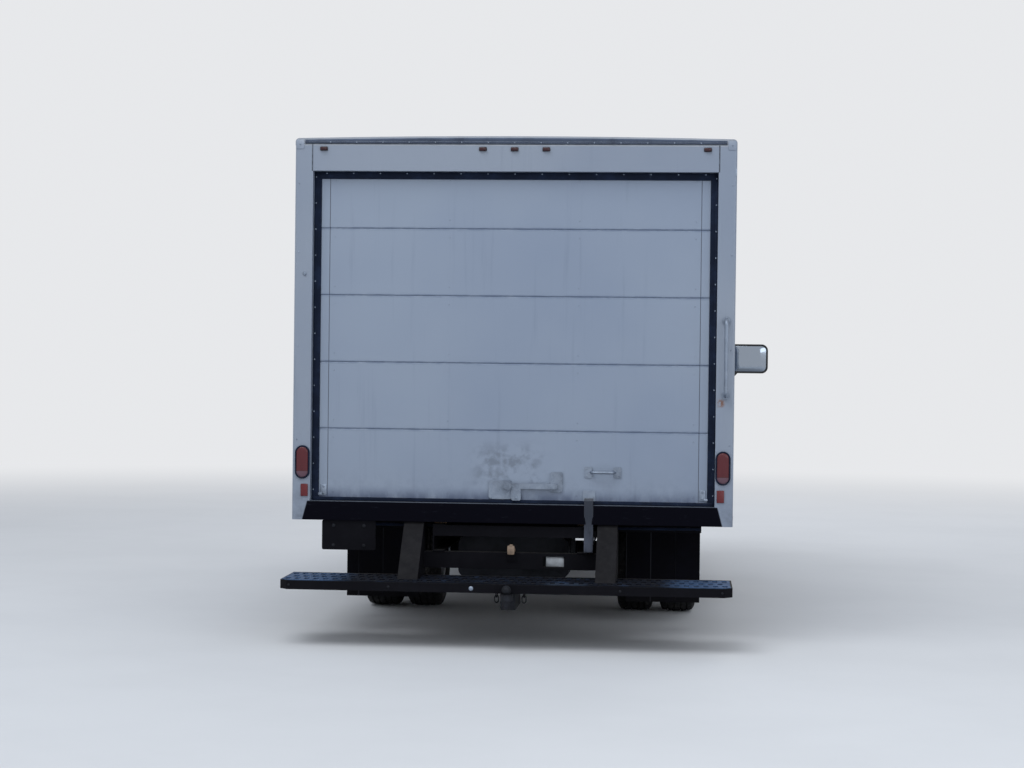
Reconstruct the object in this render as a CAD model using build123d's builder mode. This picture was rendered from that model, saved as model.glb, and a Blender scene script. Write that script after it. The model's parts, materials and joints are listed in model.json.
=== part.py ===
from build123d import *
import os
from math import cos, radians, sin

os.makedirs("parts", exist_ok=True)

# All sizes in mm. X points to the truck's right, Y forward, Z up from the ground.

# Overall layout
BODY_LENGTH = 3658.0
BODY_WIDTH = 2438.0
ROOF_TOP = 2785.0
DECK_TOP = 760.0
WHEELBASE = 3531.0
REAR_OVERHANG = 1676.0
FRONT_OVERHANG = 793.0
STEP_REACH = 385.0
BALL_REACH = 45.0
BALL_RADIUS = 25.4
CAB_GAP = 50.0

HITCH_REACH = STEP_REACH + BALL_REACH + BALL_RADIUS + 5.0
OVERALL_LENGTH = HITCH_REACH + REAR_OVERHANG + WHEELBASE + FRONT_OVERHANG
REAR_FACE = HITCH_REACH - OVERALL_LENGTH / 2
REAR_AXLE = REAR_FACE + REAR_OVERHANG
FRONT_AXLE = REAR_AXLE + WHEELBASE
NOSE = FRONT_AXLE + FRONT_OVERHANG
BOX_FRONT = REAR_FACE + BODY_LENGTH
CAB_BACK = BOX_FRONT + CAB_GAP
HALF_BODY = BODY_WIDTH / 2

# Clearances
SEAT_GAP = 0.3
RUNNING_GAP = 0.05
PANEL_GAP = 8.5

# Ladder frame
RAIL_SPREAD = 865.0
RAIL_HEIGHT = 150.0
RAIL_FLANGE = 65.0
RAIL_GAUGE = 7.0
SILL_BAR = 15.0
BUMPER_GAUGE = 8.0
CROSS_SILL_HEIGHT = 75.0
CROSS_SILL_WIDTH = 45.0
CROSS_SILL_PITCH = 406.0
DECK_THICKNESS = 30.0
RAIL_REAR = REAR_FACE + 25.0
RAIL_FRONT = NOSE - BUMPER_GAUGE - SEAT_GAP
SILL_BOTTOM = DECK_TOP - DECK_THICKNESS - CROSS_SILL_HEIGHT
RAIL_TOP = SILL_BOTTOM - SILL_BAR
RAIL_BOTTOM = RAIL_TOP - RAIL_HEIGHT
HALF_RAIL = RAIL_SPREAD / 2
RAIL_INSIDE = HALF_RAIL - RAIL_FLANGE
CROSSMEMBER_DEPTH = 60.0
CROSSMEMBER_WIDTH = 80.0

# Box walls
WALL = 62.0
WALL_RECESS = 5.0
BOTTOM_RAIL = 135.0
TOP_RAIL = 110.0
ROOF_THICKNESS = 40.0
ROOF_CROWN = 14.0
ROOF_EDGE_RADIUS = 22.0
FRONT_CORNER_RADIUS = 55.0
WALL_TOP = ROOF_TOP - ROOF_CROWN - ROOF_THICKNESS
LINER_HEIGHT = 620.0
POST_PITCH = 406.0
POST_WIDTH_INSIDE = 60.0
POST_POCKET = 30.0

# Rear frame and roll-up door
POST_WIDTH = 100.0
POST_DEPTH = 100.0
HEADER_HEIGHT = 140.0
DOOR_SECTION = 371.5
BOTTOM_SECTION = 402.0
MIDDLE_SECTIONS = 3
DOOR_SECTION_GAP = 0.3
DOOR_THICKNESS = 25.0
DOOR_SETBACK = 58.0
DOOR_EDGE_CHAMFER = 5.0
DOOR_SIDE_GAP = 4.0
SEAL_WIDTH = 41.0
SEAL_THICKNESS = 6.0
OPENING_HALF = HALF_BODY - POST_WIDTH
OPENING_TOP = WALL_TOP - HEADER_HEIGHT

# Tyres and rims
TYRE_RADIUS = 372.0
TYRE_WIDTH = 223.0
TREAD_HALF = 88.0
GROOVE_WIDTH = 9.0
GROOVE_DEPTH = 8.0
RIM_RADIUS = 203.0
RIM_WIDTH = 168.0
RIM_GAUGE = 11.0
RIM_LIP = 15.0
DISC_GAUGE = 9.0
HUB_RADIUS = 72.0
HUB_CAP_RADIUS = 48.0
HAND_HOLES = 8
HAND_HOLE_RADIUS = 19.0
HAND_HOLE_CIRCLE = 124.0
BOWL_RADIUS = 150.0
DUAL_SPACING = 262.0
DUAL_CENTRE = 788.0
FRONT_TRACK_HALF = 860.0
SPINDLE_RADIUS = 30.0

# Suspension
AXLE_TUBE_RADIUS = 52.0
LEAF_WIDTH = 64.0
LEAF_PACK = 34.0
REAR_SPRING_LENGTH = 1250.0
FRONT_SPRING_LENGTH = 1000.0
SPRING_EYE_RADIUS = 24.0
KINGPIN_X = 735.0
KINGPIN_RADIUS = 17.0
KINGPIN_BOSS_RADIUS = 34.0
KINGPIN_BOSS_HEIGHT = 100.0
BEAM_DEPTH = 70.0
KNUCKLE_EAR = 30.0
KNUCKLE_GAP = 1.0
STEERING_ARM = 165.0

# Cab
CAB_HALF = 1000.0
CAB_ROOF_HALF = 880.0
CAB_ROOF = 2080.0
BELT = 1290.0
CAB_BOTTOM = 470.0
ROOF_LENGTH = 790.0
WINDSCREEN_RUN = 650.0
COWL_HEIGHT = 1370.0
HOOD_FRONT_HEIGHT = 1140.0
BUMPER_DEPTH = 110.0
CAB_SKIN = 40.0
DOOR_SKIN = 75.0
CAB_FLOOR = 690.0
CAB_FLOOR_THICKNESS = 30.0
ARCH_RADIUS = 450.0
GLASS = 6.0
GLASS_INSET = 8.0
COWL = CAB_BACK + ROOF_LENGTH + WINDSCREEN_RUN
GRILLE_FACE = NOSE - BUMPER_DEPTH
FIREWALL = COWL - 70.0
SIDE_DOOR_REAR = CAB_BACK + 105.0
SIDE_DOOR_FRONT = FRONT_AXLE - ARCH_RADIUS - 20.0
HOOD_HALF = 760.0
HOOD_GAP = 24.0


def cross(y):
    """Plane square to the truck's length; a negative extrusion goes forward."""
    return Plane.XZ.offset(-y)


def side(x):
    """Plane along the truck's length; a positive extrusion goes to the right."""
    return Plane.YZ.offset(x)


def level(z):
    """Horizontal plane at a height."""
    return Plane.XY.offset(z)


# Ladder frame: two channel rails and the members between them
CROSSMEMBER_PLACES = (
    RAIL_REAR + CROSSMEMBER_WIDTH / 2,
    REAR_AXLE - REAR_SPRING_LENGTH / 2 - 40.0,
    REAR_AXLE + REAR_SPRING_LENGTH / 2 + 40.0,
    CAB_BACK + 300.0,
    NOSE - BUMPER_DEPTH - CROSSMEMBER_WIDTH,
)

with BuildPart() as frame_ladder:
    for hand in (-1, 1):
        with BuildSketch(cross(RAIL_REAR)):
            with Locations((hand * (HALF_RAIL - RAIL_FLANGE / 2), RAIL_TOP - RAIL_HEIGHT / 2)):
                Rectangle(RAIL_FLANGE, RAIL_HEIGHT)
            with Locations((hand * (RAIL_INSIDE + RAIL_FLANGE / 2 - RAIL_GAUGE), RAIL_TOP - RAIL_HEIGHT / 2)):
                Rectangle(RAIL_FLANGE, RAIL_HEIGHT - 2 * RAIL_GAUGE, mode=Mode.SUBTRACT)
        extrude(amount=-(RAIL_FRONT - RAIL_REAR))
    for place in CROSSMEMBER_PLACES:
        with BuildSketch(side(-(HALF_RAIL - RAIL_GAUGE / 2))):
            with Locations((place, RAIL_TOP - CROSSMEMBER_DEPTH / 2 - RAIL_GAUGE / 2)):
                Rectangle(CROSSMEMBER_WIDTH, CROSSMEMBER_DEPTH)
                Rectangle(CROSSMEMBER_WIDTH - 2 * RAIL_GAUGE, CROSSMEMBER_DEPTH - 2 * RAIL_GAUGE,
                          mode=Mode.SUBTRACT)
        extrude(amount=RAIL_SPREAD - RAIL_GAUGE)
frame_ladder.part.label = "frame_ladder"
export_step(frame_ladder.part, "parts/frame_ladder.step")


def leaf_spring(centre_x, axle_y, seat_z, eye_z, length, hanger_top, hanger_out):
    """One leaf pack on an axle seat, with eyes and hangers up to the frame."""
    rise = eye_z - seat_z
    with BuildPart() as spring:
        with BuildSketch(side(centre_x - LEAF_WIDTH / 2)):
            with BuildLine():
                lower = ThreePointArc((axle_y - length / 2, seat_z + rise),
                                      (axle_y, seat_z),
                                      (axle_y + length / 2, seat_z + rise))
                upper = ThreePointArc((axle_y - length / 2, seat_z + rise + LEAF_PACK / 3),
                                      (axle_y, seat_z + LEAF_PACK),
                                      (axle_y + length / 2, seat_z + rise + LEAF_PACK / 3))
                Line(lower @ 0, upper @ 0)
                Line(lower @ 1, upper @ 1)
            make_face()
        extrude(amount=LEAF_WIDTH)
        for end in (-1, 1):
            eye = axle_y + end * length / 2
            with BuildSketch(side(centre_x - LEAF_WIDTH / 2)):
                with Locations((eye, eye_z)):
                    Circle(SPRING_EYE_RADIUS)
                with Locations((eye, (eye_z + hanger_top) / 2)):
                    Rectangle(1.4 * SPRING_EYE_RADIUS, hanger_top - eye_z)
            extrude(amount=LEAF_WIDTH)
        if hanger_out:
            hand = 1 if centre_x > 0 else -1
            web = abs(centre_x) - LEAF_WIDTH / 2 - HALF_RAIL
            for end in (-1, 1):
                eye = axle_y + end * length / 2
                with BuildSketch(side(hand * HALF_RAIL)):
                    with Locations((eye, (eye_z + hanger_top) / 2)):
                        Rectangle(1.4 * SPRING_EYE_RADIUS, hanger_top - eye_z)
                extrude(amount=hand * (web + LEAF_WIDTH / 2))
    return spring.part


# Rear axle: tube, differential, spindles and two leaf packs beside the rails
REAR_SPRING_X = HALF_RAIL + LEAF_WIDTH / 2 + 12.0
REAR_SPINDLE_END = DUAL_CENTRE + 95.0
REAR_TUBE_END = DUAL_CENTRE - 180.0
DIFF_RADIUS = 150.0
DIFF_HALF_WIDTH = 118.0
PINION_Z = TYRE_RADIUS + 30.0
PINION_FACE = REAR_AXLE + 235.0
REAR_SEAT_Z = TYRE_RADIUS + AXLE_TUBE_RADIUS - 4.0

rear_springs = [
    leaf_spring(hand * REAR_SPRING_X, REAR_AXLE, REAR_SEAT_Z, REAR_SEAT_Z + 85.0,
                REAR_SPRING_LENGTH, RAIL_TOP - 30.0, True)
    for hand in (-1, 1)
]

with BuildPart() as rear_axle:
    with BuildSketch(side(-REAR_TUBE_END)):
        with Locations((REAR_AXLE, TYRE_RADIUS)):
            Circle(AXLE_TUBE_RADIUS)
    extrude(amount=2 * REAR_TUBE_END)
    with BuildSketch(side(-REAR_SPINDLE_END)):
        with Locations((REAR_AXLE, TYRE_RADIUS)):
            Circle(SPINDLE_RADIUS)
    extrude(amount=2 * REAR_SPINDLE_END)
    with BuildSketch(cross(REAR_AXLE)):
        with BuildLine():
            bowl = ThreePointArc((-DIFF_HALF_WIDTH, TYRE_RADIUS),
                                 (0, TYRE_RADIUS + DIFF_RADIUS),
                                 (DIFF_HALF_WIDTH, TYRE_RADIUS))
            Line(bowl @ 0, bowl @ 1)
        make_face()
    revolve(axis=Axis((0, REAR_AXLE, TYRE_RADIUS), (1, 0, 0)))
    with BuildSketch(cross(REAR_AXLE)):
        with Locations((0, PINION_Z)):
            Circle(58.0)
    extrude(amount=-(PINION_FACE - REAR_AXLE))
    for spring in rear_springs:
        add(spring)
rear_axle.part.label = "rear_axle"
export_step(rear_axle.part, "parts/rear_axle.step")

# Front beam axle: dropped forged beam, kingpins and leaf packs under the rails
FRONT_SPRING_X = HALF_RAIL - RAIL_FLANGE / 2
BEAM_TOP = TYRE_RADIUS - 8.0
BEAM_HEIGHT = 66.0
BEAM_RIB = 20.0
FRONT_EYE_Z = RAIL_BOTTOM - SPRING_EYE_RADIUS - 18.0

front_springs = [
    leaf_spring(hand * FRONT_SPRING_X, FRONT_AXLE, BEAM_TOP - 4.0, FRONT_EYE_Z,
                FRONT_SPRING_LENGTH, RAIL_BOTTOM, False)
    for hand in (-1, 1)
]

with BuildPart() as front_axle:
    with BuildSketch(cross(FRONT_AXLE - BEAM_DEPTH / 2)):
        with BuildLine():
            Polyline(
                (-KINGPIN_X, TYRE_RADIUS + BEAM_HEIGHT / 2),
                (-KINGPIN_X + 90.0, TYRE_RADIUS + BEAM_HEIGHT / 2),
                (-KINGPIN_X + 180.0, BEAM_TOP),
                (KINGPIN_X - 180.0, BEAM_TOP),
                (KINGPIN_X - 90.0, TYRE_RADIUS + BEAM_HEIGHT / 2),
                (KINGPIN_X, TYRE_RADIUS + BEAM_HEIGHT / 2),
                (KINGPIN_X, TYRE_RADIUS - BEAM_HEIGHT / 2),
                (KINGPIN_X - 90.0, TYRE_RADIUS - BEAM_HEIGHT / 2),
                (KINGPIN_X - 200.0, BEAM_TOP - BEAM_HEIGHT - 10.0),
                (-KINGPIN_X + 200.0, BEAM_TOP - BEAM_HEIGHT - 10.0),
                (-KINGPIN_X + 90.0, TYRE_RADIUS - BEAM_HEIGHT / 2),
                (-KINGPIN_X, TYRE_RADIUS - BEAM_HEIGHT / 2),
                close=True,
            )
        make_face()
    extrude(amount=-BEAM_DEPTH)
    for face in (FRONT_AXLE - BEAM_DEPTH / 2, FRONT_AXLE + BEAM_DEPTH / 2 - BEAM_RIB):
        with BuildSketch(cross(face)):
            with Locations((0, BEAM_TOP - BEAM_HEIGHT / 2 - 5.0)):
                Rectangle(2 * (KINGPIN_X - 220.0), BEAM_HEIGHT - 22.0)
        extrude(amount=-BEAM_RIB, mode=Mode.SUBTRACT)
    for hand in (-1, 1):
        with BuildSketch(level(TYRE_RADIUS - KINGPIN_BOSS_HEIGHT / 2)):
            with Locations((hand * KINGPIN_X, FRONT_AXLE)):
                Circle(KINGPIN_BOSS_RADIUS)
        extrude(amount=KINGPIN_BOSS_HEIGHT)
        with BuildSketch(level(TYRE_RADIUS - KINGPIN_BOSS_HEIGHT / 2 - KNUCKLE_EAR)):
            with Locations((hand * KINGPIN_X, FRONT_AXLE)):
                Circle(KINGPIN_RADIUS)
        extrude(amount=KINGPIN_BOSS_HEIGHT + 2 * KNUCKLE_EAR)
    for spring in front_springs:
        add(spring)
front_axle.part.label = "front_axle"
export_step(front_axle.part, "parts/front_axle.step")

# Steering knuckles: a fork round the kingpin boss, a spindle and an arm to the tie rod
EAR_BASE = KINGPIN_BOSS_HEIGHT / 2 + KNUCKLE_GAP
KNUCKLE_WEB_IN = KINGPIN_BOSS_RADIUS + 10.0
KNUCKLE_WEB_OUT = KNUCKLE_WEB_IN + 22.0
SPINDLE_END = FRONT_TRACK_HALF + 98.0
ARM_THICKNESS = 24.0
ARM_TOP = TYRE_RADIUS - EAR_BASE
BALL_PIN_RADIUS = 10.0
TIE_ROD_Z = ARM_TOP - ARM_THICKNESS - 22.0
TIE_ROD_EYE = 22.0
TIE_ROD_RADIUS = 13.0


def knuckle_solid(hand):
    """Forked steering knuckle for one side."""
    pin_x = hand * KINGPIN_X
    web_x = hand * (KINGPIN_X + (KNUCKLE_WEB_IN + KNUCKLE_WEB_OUT) / 2)
    with BuildPart() as knuckle:
        for base in (TYRE_RADIUS + EAR_BASE, TYRE_RADIUS - EAR_BASE - KNUCKLE_EAR):
            with BuildSketch(level(base)):
                with Locations((pin_x, FRONT_AXLE)):
                    Circle(KINGPIN_BOSS_RADIUS)
                with Locations((pin_x + hand * KNUCKLE_WEB_OUT / 2, FRONT_AXLE)):
                    Rectangle(KNUCKLE_WEB_OUT, 2 * KINGPIN_BOSS_RADIUS)
                with Locations((pin_x, FRONT_AXLE)):
                    Circle(KINGPIN_RADIUS + RUNNING_GAP, mode=Mode.SUBTRACT)
            extrude(amount=KNUCKLE_EAR)
        with BuildSketch(level(TYRE_RADIUS - EAR_BASE - KNUCKLE_EAR)):
            with Locations((web_x, FRONT_AXLE)):
                Rectangle(KNUCKLE_WEB_OUT - KNUCKLE_WEB_IN, 2 * KINGPIN_BOSS_RADIUS + 16.0)
        extrude(amount=2 * (EAR_BASE + KNUCKLE_EAR))
        with BuildSketch(side(hand * (KINGPIN_X + KNUCKLE_WEB_IN + 1.0))):
            with Locations((FRONT_AXLE, TYRE_RADIUS)):
                Circle(SPINDLE_RADIUS)
        extrude(amount=hand * (SPINDLE_END - KINGPIN_X - KNUCKLE_WEB_IN - 1.0))
        with BuildSketch(level(ARM_TOP - ARM_THICKNESS)):
            with Locations((pin_x, FRONT_AXLE - KINGPIN_BOSS_RADIUS / 2 - STEERING_ARM / 2)):
                Rectangle(32.0, STEERING_ARM - KINGPIN_BOSS_RADIUS)
            with Locations((pin_x, FRONT_AXLE - STEERING_ARM)):
                Circle(16.0)
            with Locations((pin_x, FRONT_AXLE)):
                Circle(KINGPIN_RADIUS + RUNNING_GAP, mode=Mode.SUBTRACT)
        extrude(amount=ARM_THICKNESS)
        with BuildSketch(level(TIE_ROD_Z - TIE_ROD_EYE / 2 - 4.0)):
            with Locations((pin_x, FRONT_AXLE - STEERING_ARM)):
                Circle(BALL_PIN_RADIUS)
        extrude(amount=ARM_TOP - ARM_THICKNESS - TIE_ROD_Z + TIE_ROD_EYE / 2 + 5.0)
    return knuckle.part


with BuildPart() as knuckle_left:
    add(knuckle_solid(-1))
knuckle_left.part.label = "knuckle_left"
export_step(knuckle_left.part, "parts/knuckle_left.step")

with BuildPart() as knuckle_right:
    add(knuckle_solid(1))
knuckle_right.part.label = "knuckle_right"
export_step(knuckle_right.part, "parts/knuckle_right.step")

with BuildPart() as tie_rod:
    with BuildSketch(side(-KINGPIN_X)):
        with Locations((FRONT_AXLE - STEERING_ARM, TIE_ROD_Z)):
            Circle(TIE_ROD_RADIUS)
    extrude(amount=2 * KINGPIN_X)
    for hand in (-1, 1):
        with BuildSketch(level(TIE_ROD_Z - TIE_ROD_EYE / 2 - 3.0)):
            with Locations((hand * KINGPIN_X, FRONT_AXLE - STEERING_ARM)):
                Circle(TIE_ROD_EYE)
        extrude(amount=TIE_ROD_EYE + 6.0)
        with BuildSketch(level(TIE_ROD_Z - TIE_ROD_EYE)):
            with Locations((hand * KINGPIN_X, FRONT_AXLE - STEERING_ARM)):
                Circle(BALL_PIN_RADIUS + RUNNING_GAP)
        extrude(amount=2 * TIE_ROD_EYE, mode=Mode.SUBTRACT)
tie_rod.part.label = "tie_rod"
export_step(tie_rod.part, "parts/tie_rod.step")


def tyre_solid(centre_x, axle_y):
    """One tyre turned about its axle, with three tread grooves."""
    bead = TYRE_RADIUS + RIM_RADIUS + SEAT_GAP
    bead_top = bead + RIM_LIP
    flank = TYRE_RADIUS + 290.0
    crown = 2 * TYRE_RADIUS
    shoulder = crown - 34.0
    seat = RIM_WIDTH / 2 - SEAT_GAP
    half = TYRE_WIDTH / 2
    with BuildPart() as tyre:
        with BuildSketch(cross(axle_y)):
            with BuildLine():
                Polyline((centre_x - TREAD_HALF, crown - 8.0), (centre_x - half + 8.0, shoulder))
                ThreePointArc((centre_x - half + 8.0, shoulder), (centre_x - half, flank),
                              (centre_x - seat, bead_top))
                Polyline((centre_x - seat, bead_top), (centre_x - seat, bead),
                         (centre_x + seat, bead), (centre_x + seat, bead_top))
                ThreePointArc((centre_x + seat, bead_top), (centre_x + half, flank),
                              (centre_x + half - 8.0, shoulder))
                Line((centre_x + half - 8.0, shoulder), (centre_x + TREAD_HALF, crown - 8.0))
                ThreePointArc((centre_x + TREAD_HALF, crown - 8.0), (centre_x, crown),
                              (centre_x - TREAD_HALF, crown - 8.0))
            make_face()
            for groove in (-TREAD_HALF / 2, 0, TREAD_HALF / 2):
                with Locations((centre_x + groove, crown)):
                    Rectangle(GROOVE_WIDTH, 2 * GROOVE_DEPTH, mode=Mode.SUBTRACT)
        revolve(axis=Axis((0, axle_y, TYRE_RADIUS), (1, 0, 0)))
    return tyre.part


def rim_solid(centre_x, axle_y, disc_x, bore):
    """One steel rim: barrel with lips and a dished disc with hand holes."""
    toward = 1 if disc_x > centre_x else -1
    edge_x = centre_x + toward * (RIM_WIDTH / 2 - 12.0)
    with BuildPart() as rim:
        with BuildSketch(cross(axle_y)):
            with Locations((centre_x, TYRE_RADIUS + RIM_RADIUS - RIM_GAUGE / 2)):
                Rectangle(RIM_WIDTH + 2 * RIM_GAUGE, RIM_GAUGE)
            for lip in (-1, 1):
                with Locations((centre_x + lip * (RIM_WIDTH + RIM_GAUGE) / 2,
                                TYRE_RADIUS + RIM_RADIUS + RIM_LIP / 2 - 1.0)):
                    Rectangle(RIM_GAUGE, RIM_LIP + 2.0)
            with BuildLine():
                Polyline(
                    (disc_x - DISC_GAUGE / 2, TYRE_RADIUS + bore),
                    (disc_x - DISC_GAUGE / 2, TYRE_RADIUS + BOWL_RADIUS),
                    (edge_x - DISC_GAUGE / 2, TYRE_RADIUS + RIM_RADIUS - RIM_GAUGE / 2),
                    (edge_x + DISC_GAUGE / 2, TYRE_RADIUS + RIM_RADIUS - RIM_GAUGE / 2),
                    (disc_x + DISC_GAUGE / 2, TYRE_RADIUS + BOWL_RADIUS),
                    (disc_x + DISC_GAUGE / 2, TYRE_RADIUS + bore),
                    close=True,
                )
            make_face()
        revolve(axis=Axis((0, axle_y, TYRE_RADIUS), (1, 0, 0)))
        with BuildSketch(side(disc_x - DISC_GAUGE)):
            with Locations((axle_y, TYRE_RADIUS)):
                with PolarLocations(HAND_HOLE_CIRCLE, HAND_HOLES):
                    Circle(HAND_HOLE_RADIUS)
        extrude(amount=2 * DISC_GAUGE, mode=Mode.SUBTRACT)
    return rim.part


def hub_solid(inner_x, outer_x, disc_x, bore_end, axle_y, hand):
    """Hub with a flange behind the disc and a blind bore for the spindle."""
    with BuildPart() as hub:
        with BuildSketch(side(hand * inner_x)):
            with Locations((axle_y, TYRE_RADIUS)):
                Circle(HUB_RADIUS)
        extrude(amount=hand * (disc_x - inner_x))
        with BuildSketch(side(hand * disc_x)):
            with Locations((axle_y, TYRE_RADIUS)):
                Circle(HUB_CAP_RADIUS)
        extrude(amount=hand * (outer_x - disc_x))
        with BuildSketch(side(hand * inner_x)):
            with Locations((axle_y, TYRE_RADIUS)):
                Circle(110.0)
        extrude(amount=hand * (disc_x - inner_x) * 0.3)
        with BuildSketch(side(hand * inner_x)):
            with Locations((axle_y, TYRE_RADIUS)):
                Circle(SPINDLE_RADIUS + RUNNING_GAP)
        extrude(amount=hand * (bore_end - inner_x), mode=Mode.SUBTRACT)
    return hub.part


# Front wheels
FRONT_DISC = FRONT_TRACK_HALF + 98.0
FRONT_HUB_IN = KINGPIN_X + KNUCKLE_WEB_OUT + 4.0
FRONT_HUB_OUT = FRONT_DISC + 26.0

for hand, name in ((-1, "left"), (1, "right")):
    with BuildPart() as front_tyre:
        add(tyre_solid(hand * FRONT_TRACK_HALF, FRONT_AXLE))
    front_tyre.part.label = f"front_tyre_{name}"
    export_step(front_tyre.part, f"parts/front_tyre_{name}.step")

    with BuildPart() as front_rim:
        add(rim_solid(hand * FRONT_TRACK_HALF, FRONT_AXLE, hand * FRONT_DISC, SPINDLE_RADIUS + 20.0))
        add(hub_solid(FRONT_HUB_IN, FRONT_HUB_OUT, FRONT_DISC, SPINDLE_END + 8.0, FRONT_AXLE, hand))
    front_rim.part.label = f"front_rim_{name}"
    export_step(front_rim.part, f"parts/front_rim_{name}.step")

# Twin rear wheels: two rims whose discs meet back to back on one hub
REAR_HUB_IN = REAR_TUBE_END + 4.0
REAR_HUB_OUT = REAR_SPINDLE_END + 22.0
INNER_WHEEL = DUAL_CENTRE - DUAL_SPACING / 2
OUTER_WHEEL = DUAL_CENTRE + DUAL_SPACING / 2

for hand, name in ((-1, "left"), (1, "right")):
    with BuildPart() as rear_tyres:
        for centre in (INNER_WHEEL, OUTER_WHEEL):
            add(tyre_solid(hand * centre, REAR_AXLE))
    rear_tyres.part.label = f"rear_tyres_{name}"
    export_step(rear_tyres.part, f"parts/rear_tyres_{name}.step")

    with BuildPart() as rear_rims:
        for centre, place in ((INNER_WHEEL, -DISC_GAUGE / 2), (OUTER_WHEEL, DISC_GAUGE / 2)):
            add(rim_solid(hand * centre, REAR_AXLE, hand * (DUAL_CENTRE + place), SPINDLE_RADIUS + 20.0))
        add(hub_solid(REAR_HUB_IN, REAR_HUB_OUT, DUAL_CENTRE, REAR_SPINDLE_END + 8.0, REAR_AXLE, hand))
    rear_rims.part.label = f"rear_rims_{name}"
    export_step(rear_rims.part, f"parts/rear_rims_{name}.step")

# Engine with gearbox as one plain block, resting on the rails by its mount arms
ENGINE_LENGTH = 600.0
ENGINE_WIDTH = 560.0
ENGINE_TOP = 980.0
ENGINE_BOTTOM = 470.0
ENGINE_REAR = FIREWALL + 45.0
GEARBOX_RADIUS = 110.0
GEARBOX_LENGTH = 620.0
ENGINE_MOUNT = 80.0

with BuildPart() as engine_block:
    with BuildSketch(level(ENGINE_BOTTOM)):
        with Locations((0, ENGINE_REAR + ENGINE_LENGTH / 2)):
            Rectangle(ENGINE_WIDTH, ENGINE_LENGTH)
    extrude(amount=ENGINE_TOP - ENGINE_BOTTOM)
    with BuildSketch(level(RAIL_TOP)):
        with Locations((0, ENGINE_REAR + ENGINE_LENGTH / 2)):
            Rectangle(RAIL_SPREAD, ENGINE_MOUNT)
    extrude(amount=ENGINE_MOUNT / 3)
    with BuildSketch(cross(ENGINE_REAR - GEARBOX_LENGTH)):
        with Locations((0, PINION_Z + 60.0)):
            Circle(GEARBOX_RADIUS)
    extrude(amount=-(GEARBOX_LENGTH + 10.0))
engine_block.part.label = "engine_block"
export_step(engine_block.part, "parts/engine_block.step")

# Drive shaft from the gearbox's tail to the pinion
SHAFT_RADIUS = 38.0
YOKE_RADIUS = 50.0
YOKE_LENGTH = 70.0
SHAFT_FRONT = ENGINE_REAR - GEARBOX_LENGTH - SEAT_GAP
SHAFT_REAR = PINION_FACE + SEAT_GAP

with BuildPart() as drive_shaft:
    for rear, front, radius in (
        (SHAFT_REAR, SHAFT_FRONT, SHAFT_RADIUS),
        (SHAFT_REAR, SHAFT_REAR + YOKE_LENGTH, YOKE_RADIUS),
        (SHAFT_FRONT - YOKE_LENGTH, SHAFT_FRONT, YOKE_RADIUS),
    ):
        with BuildSketch(cross(rear)):
            with Locations((0, PINION_Z)):
                Circle(radius)
        extrude(amount=-(front - rear))
drive_shaft.part.label = "drive_shaft"
export_step(drive_shaft.part, "parts/drive_shaft.step")

# Fuel tank between the rails behind the axle, hung on two straps
TANK_REAR = REAR_FACE + 230.0
TANK_LENGTH = 760.0
TANK_WIDTH = 620.0
TANK_HEIGHT = 230.0
TANK_CORNER = 45.0
TANK_TOP = RAIL_TOP - CROSSMEMBER_DEPTH - 20.0
STRAP_GAUGE = 5.0
HANGER_TAB = 36.0
HANGER_TOP = RAIL_TOP - RAIL_GAUGE - SEAT_GAP

with BuildPart() as fuel_tank:
    with BuildSketch(cross(TANK_REAR)):
        with Locations((0, TANK_TOP - TANK_HEIGHT / 2)):
            RectangleRounded(TANK_WIDTH, TANK_HEIGHT, TANK_CORNER)
    extrude(amount=-TANK_LENGTH)
    for place in (0.25, 0.75):
        with BuildSketch(cross(TANK_REAR + place * TANK_LENGTH - 20.0)):
            with Locations((0, TANK_TOP - TANK_HEIGHT / 2)):
                RectangleRounded(TANK_WIDTH + 2 * STRAP_GAUGE, TANK_HEIGHT + 2 * STRAP_GAUGE,
                                 TANK_CORNER + STRAP_GAUGE)
            with Locations((0, TANK_TOP + 12.0)):
                Rectangle(2 * (RAIL_INSIDE + HANGER_TAB), 24.0)
            for hand in (-1, 1):
                with Locations((hand * (RAIL_INSIDE + HANGER_TAB * 0.75), (TANK_TOP + HANGER_TOP) / 2)):
                    Rectangle(HANGER_TAB / 2, HANGER_TOP - TANK_TOP)
        extrude(amount=-40.0)
fuel_tank.part.label = "fuel_tank"
export_step(fuel_tank.part, "parts/fuel_tank.step")

# Exhaust: pipe along the left rail's inside, muffler, and a tail that leaves before the rear wheels
PIPE_RADIUS = 30.0
PIPE_X = -250.0
PIPE_Z = RAIL_BOTTOM - PIPE_RADIUS - 25.0
MUFFLER_REAR = REAR_AXLE + 1150.0
MUFFLER_LENGTH = 640.0
MUFFLER_HALF = 105.0
TAIL_Y = REAR_AXLE + 560.0
TAIL_BEND = 90.0

with BuildPart() as exhaust:
    with BuildLine() as pipe_path:
        FilletPolyline(
            (-(HALF_BODY - 90.0), TAIL_Y, PIPE_Z),
            (PIPE_X, TAIL_Y, PIPE_Z),
            (PIPE_X, ENGINE_REAR - 60.0, PIPE_Z),
            radius=TAIL_BEND,
        )
    with BuildSketch(Plane(origin=pipe_path.line @ 0, z_dir=pipe_path.line % 0)):
        Circle(PIPE_RADIUS)
    sweep()
    with BuildSketch(cross(MUFFLER_REAR)):
        with Locations((PIPE_X, PIPE_Z)):
            Ellipse(MUFFLER_HALF, MUFFLER_HALF * 0.7)
    extrude(amount=-MUFFLER_LENGTH)
    for place in (CROSSMEMBER_PLACES[2], CROSSMEMBER_PLACES[3]):
        with BuildSketch(level(PIPE_Z)):
            with Locations((PIPE_X, place)):
                Rectangle(30.0, 30.0)
        extrude(amount=RAIL_TOP - RAIL_GAUGE / 2 - CROSSMEMBER_DEPTH - PIPE_Z)
exhaust.part.label = "exhaust"
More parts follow.
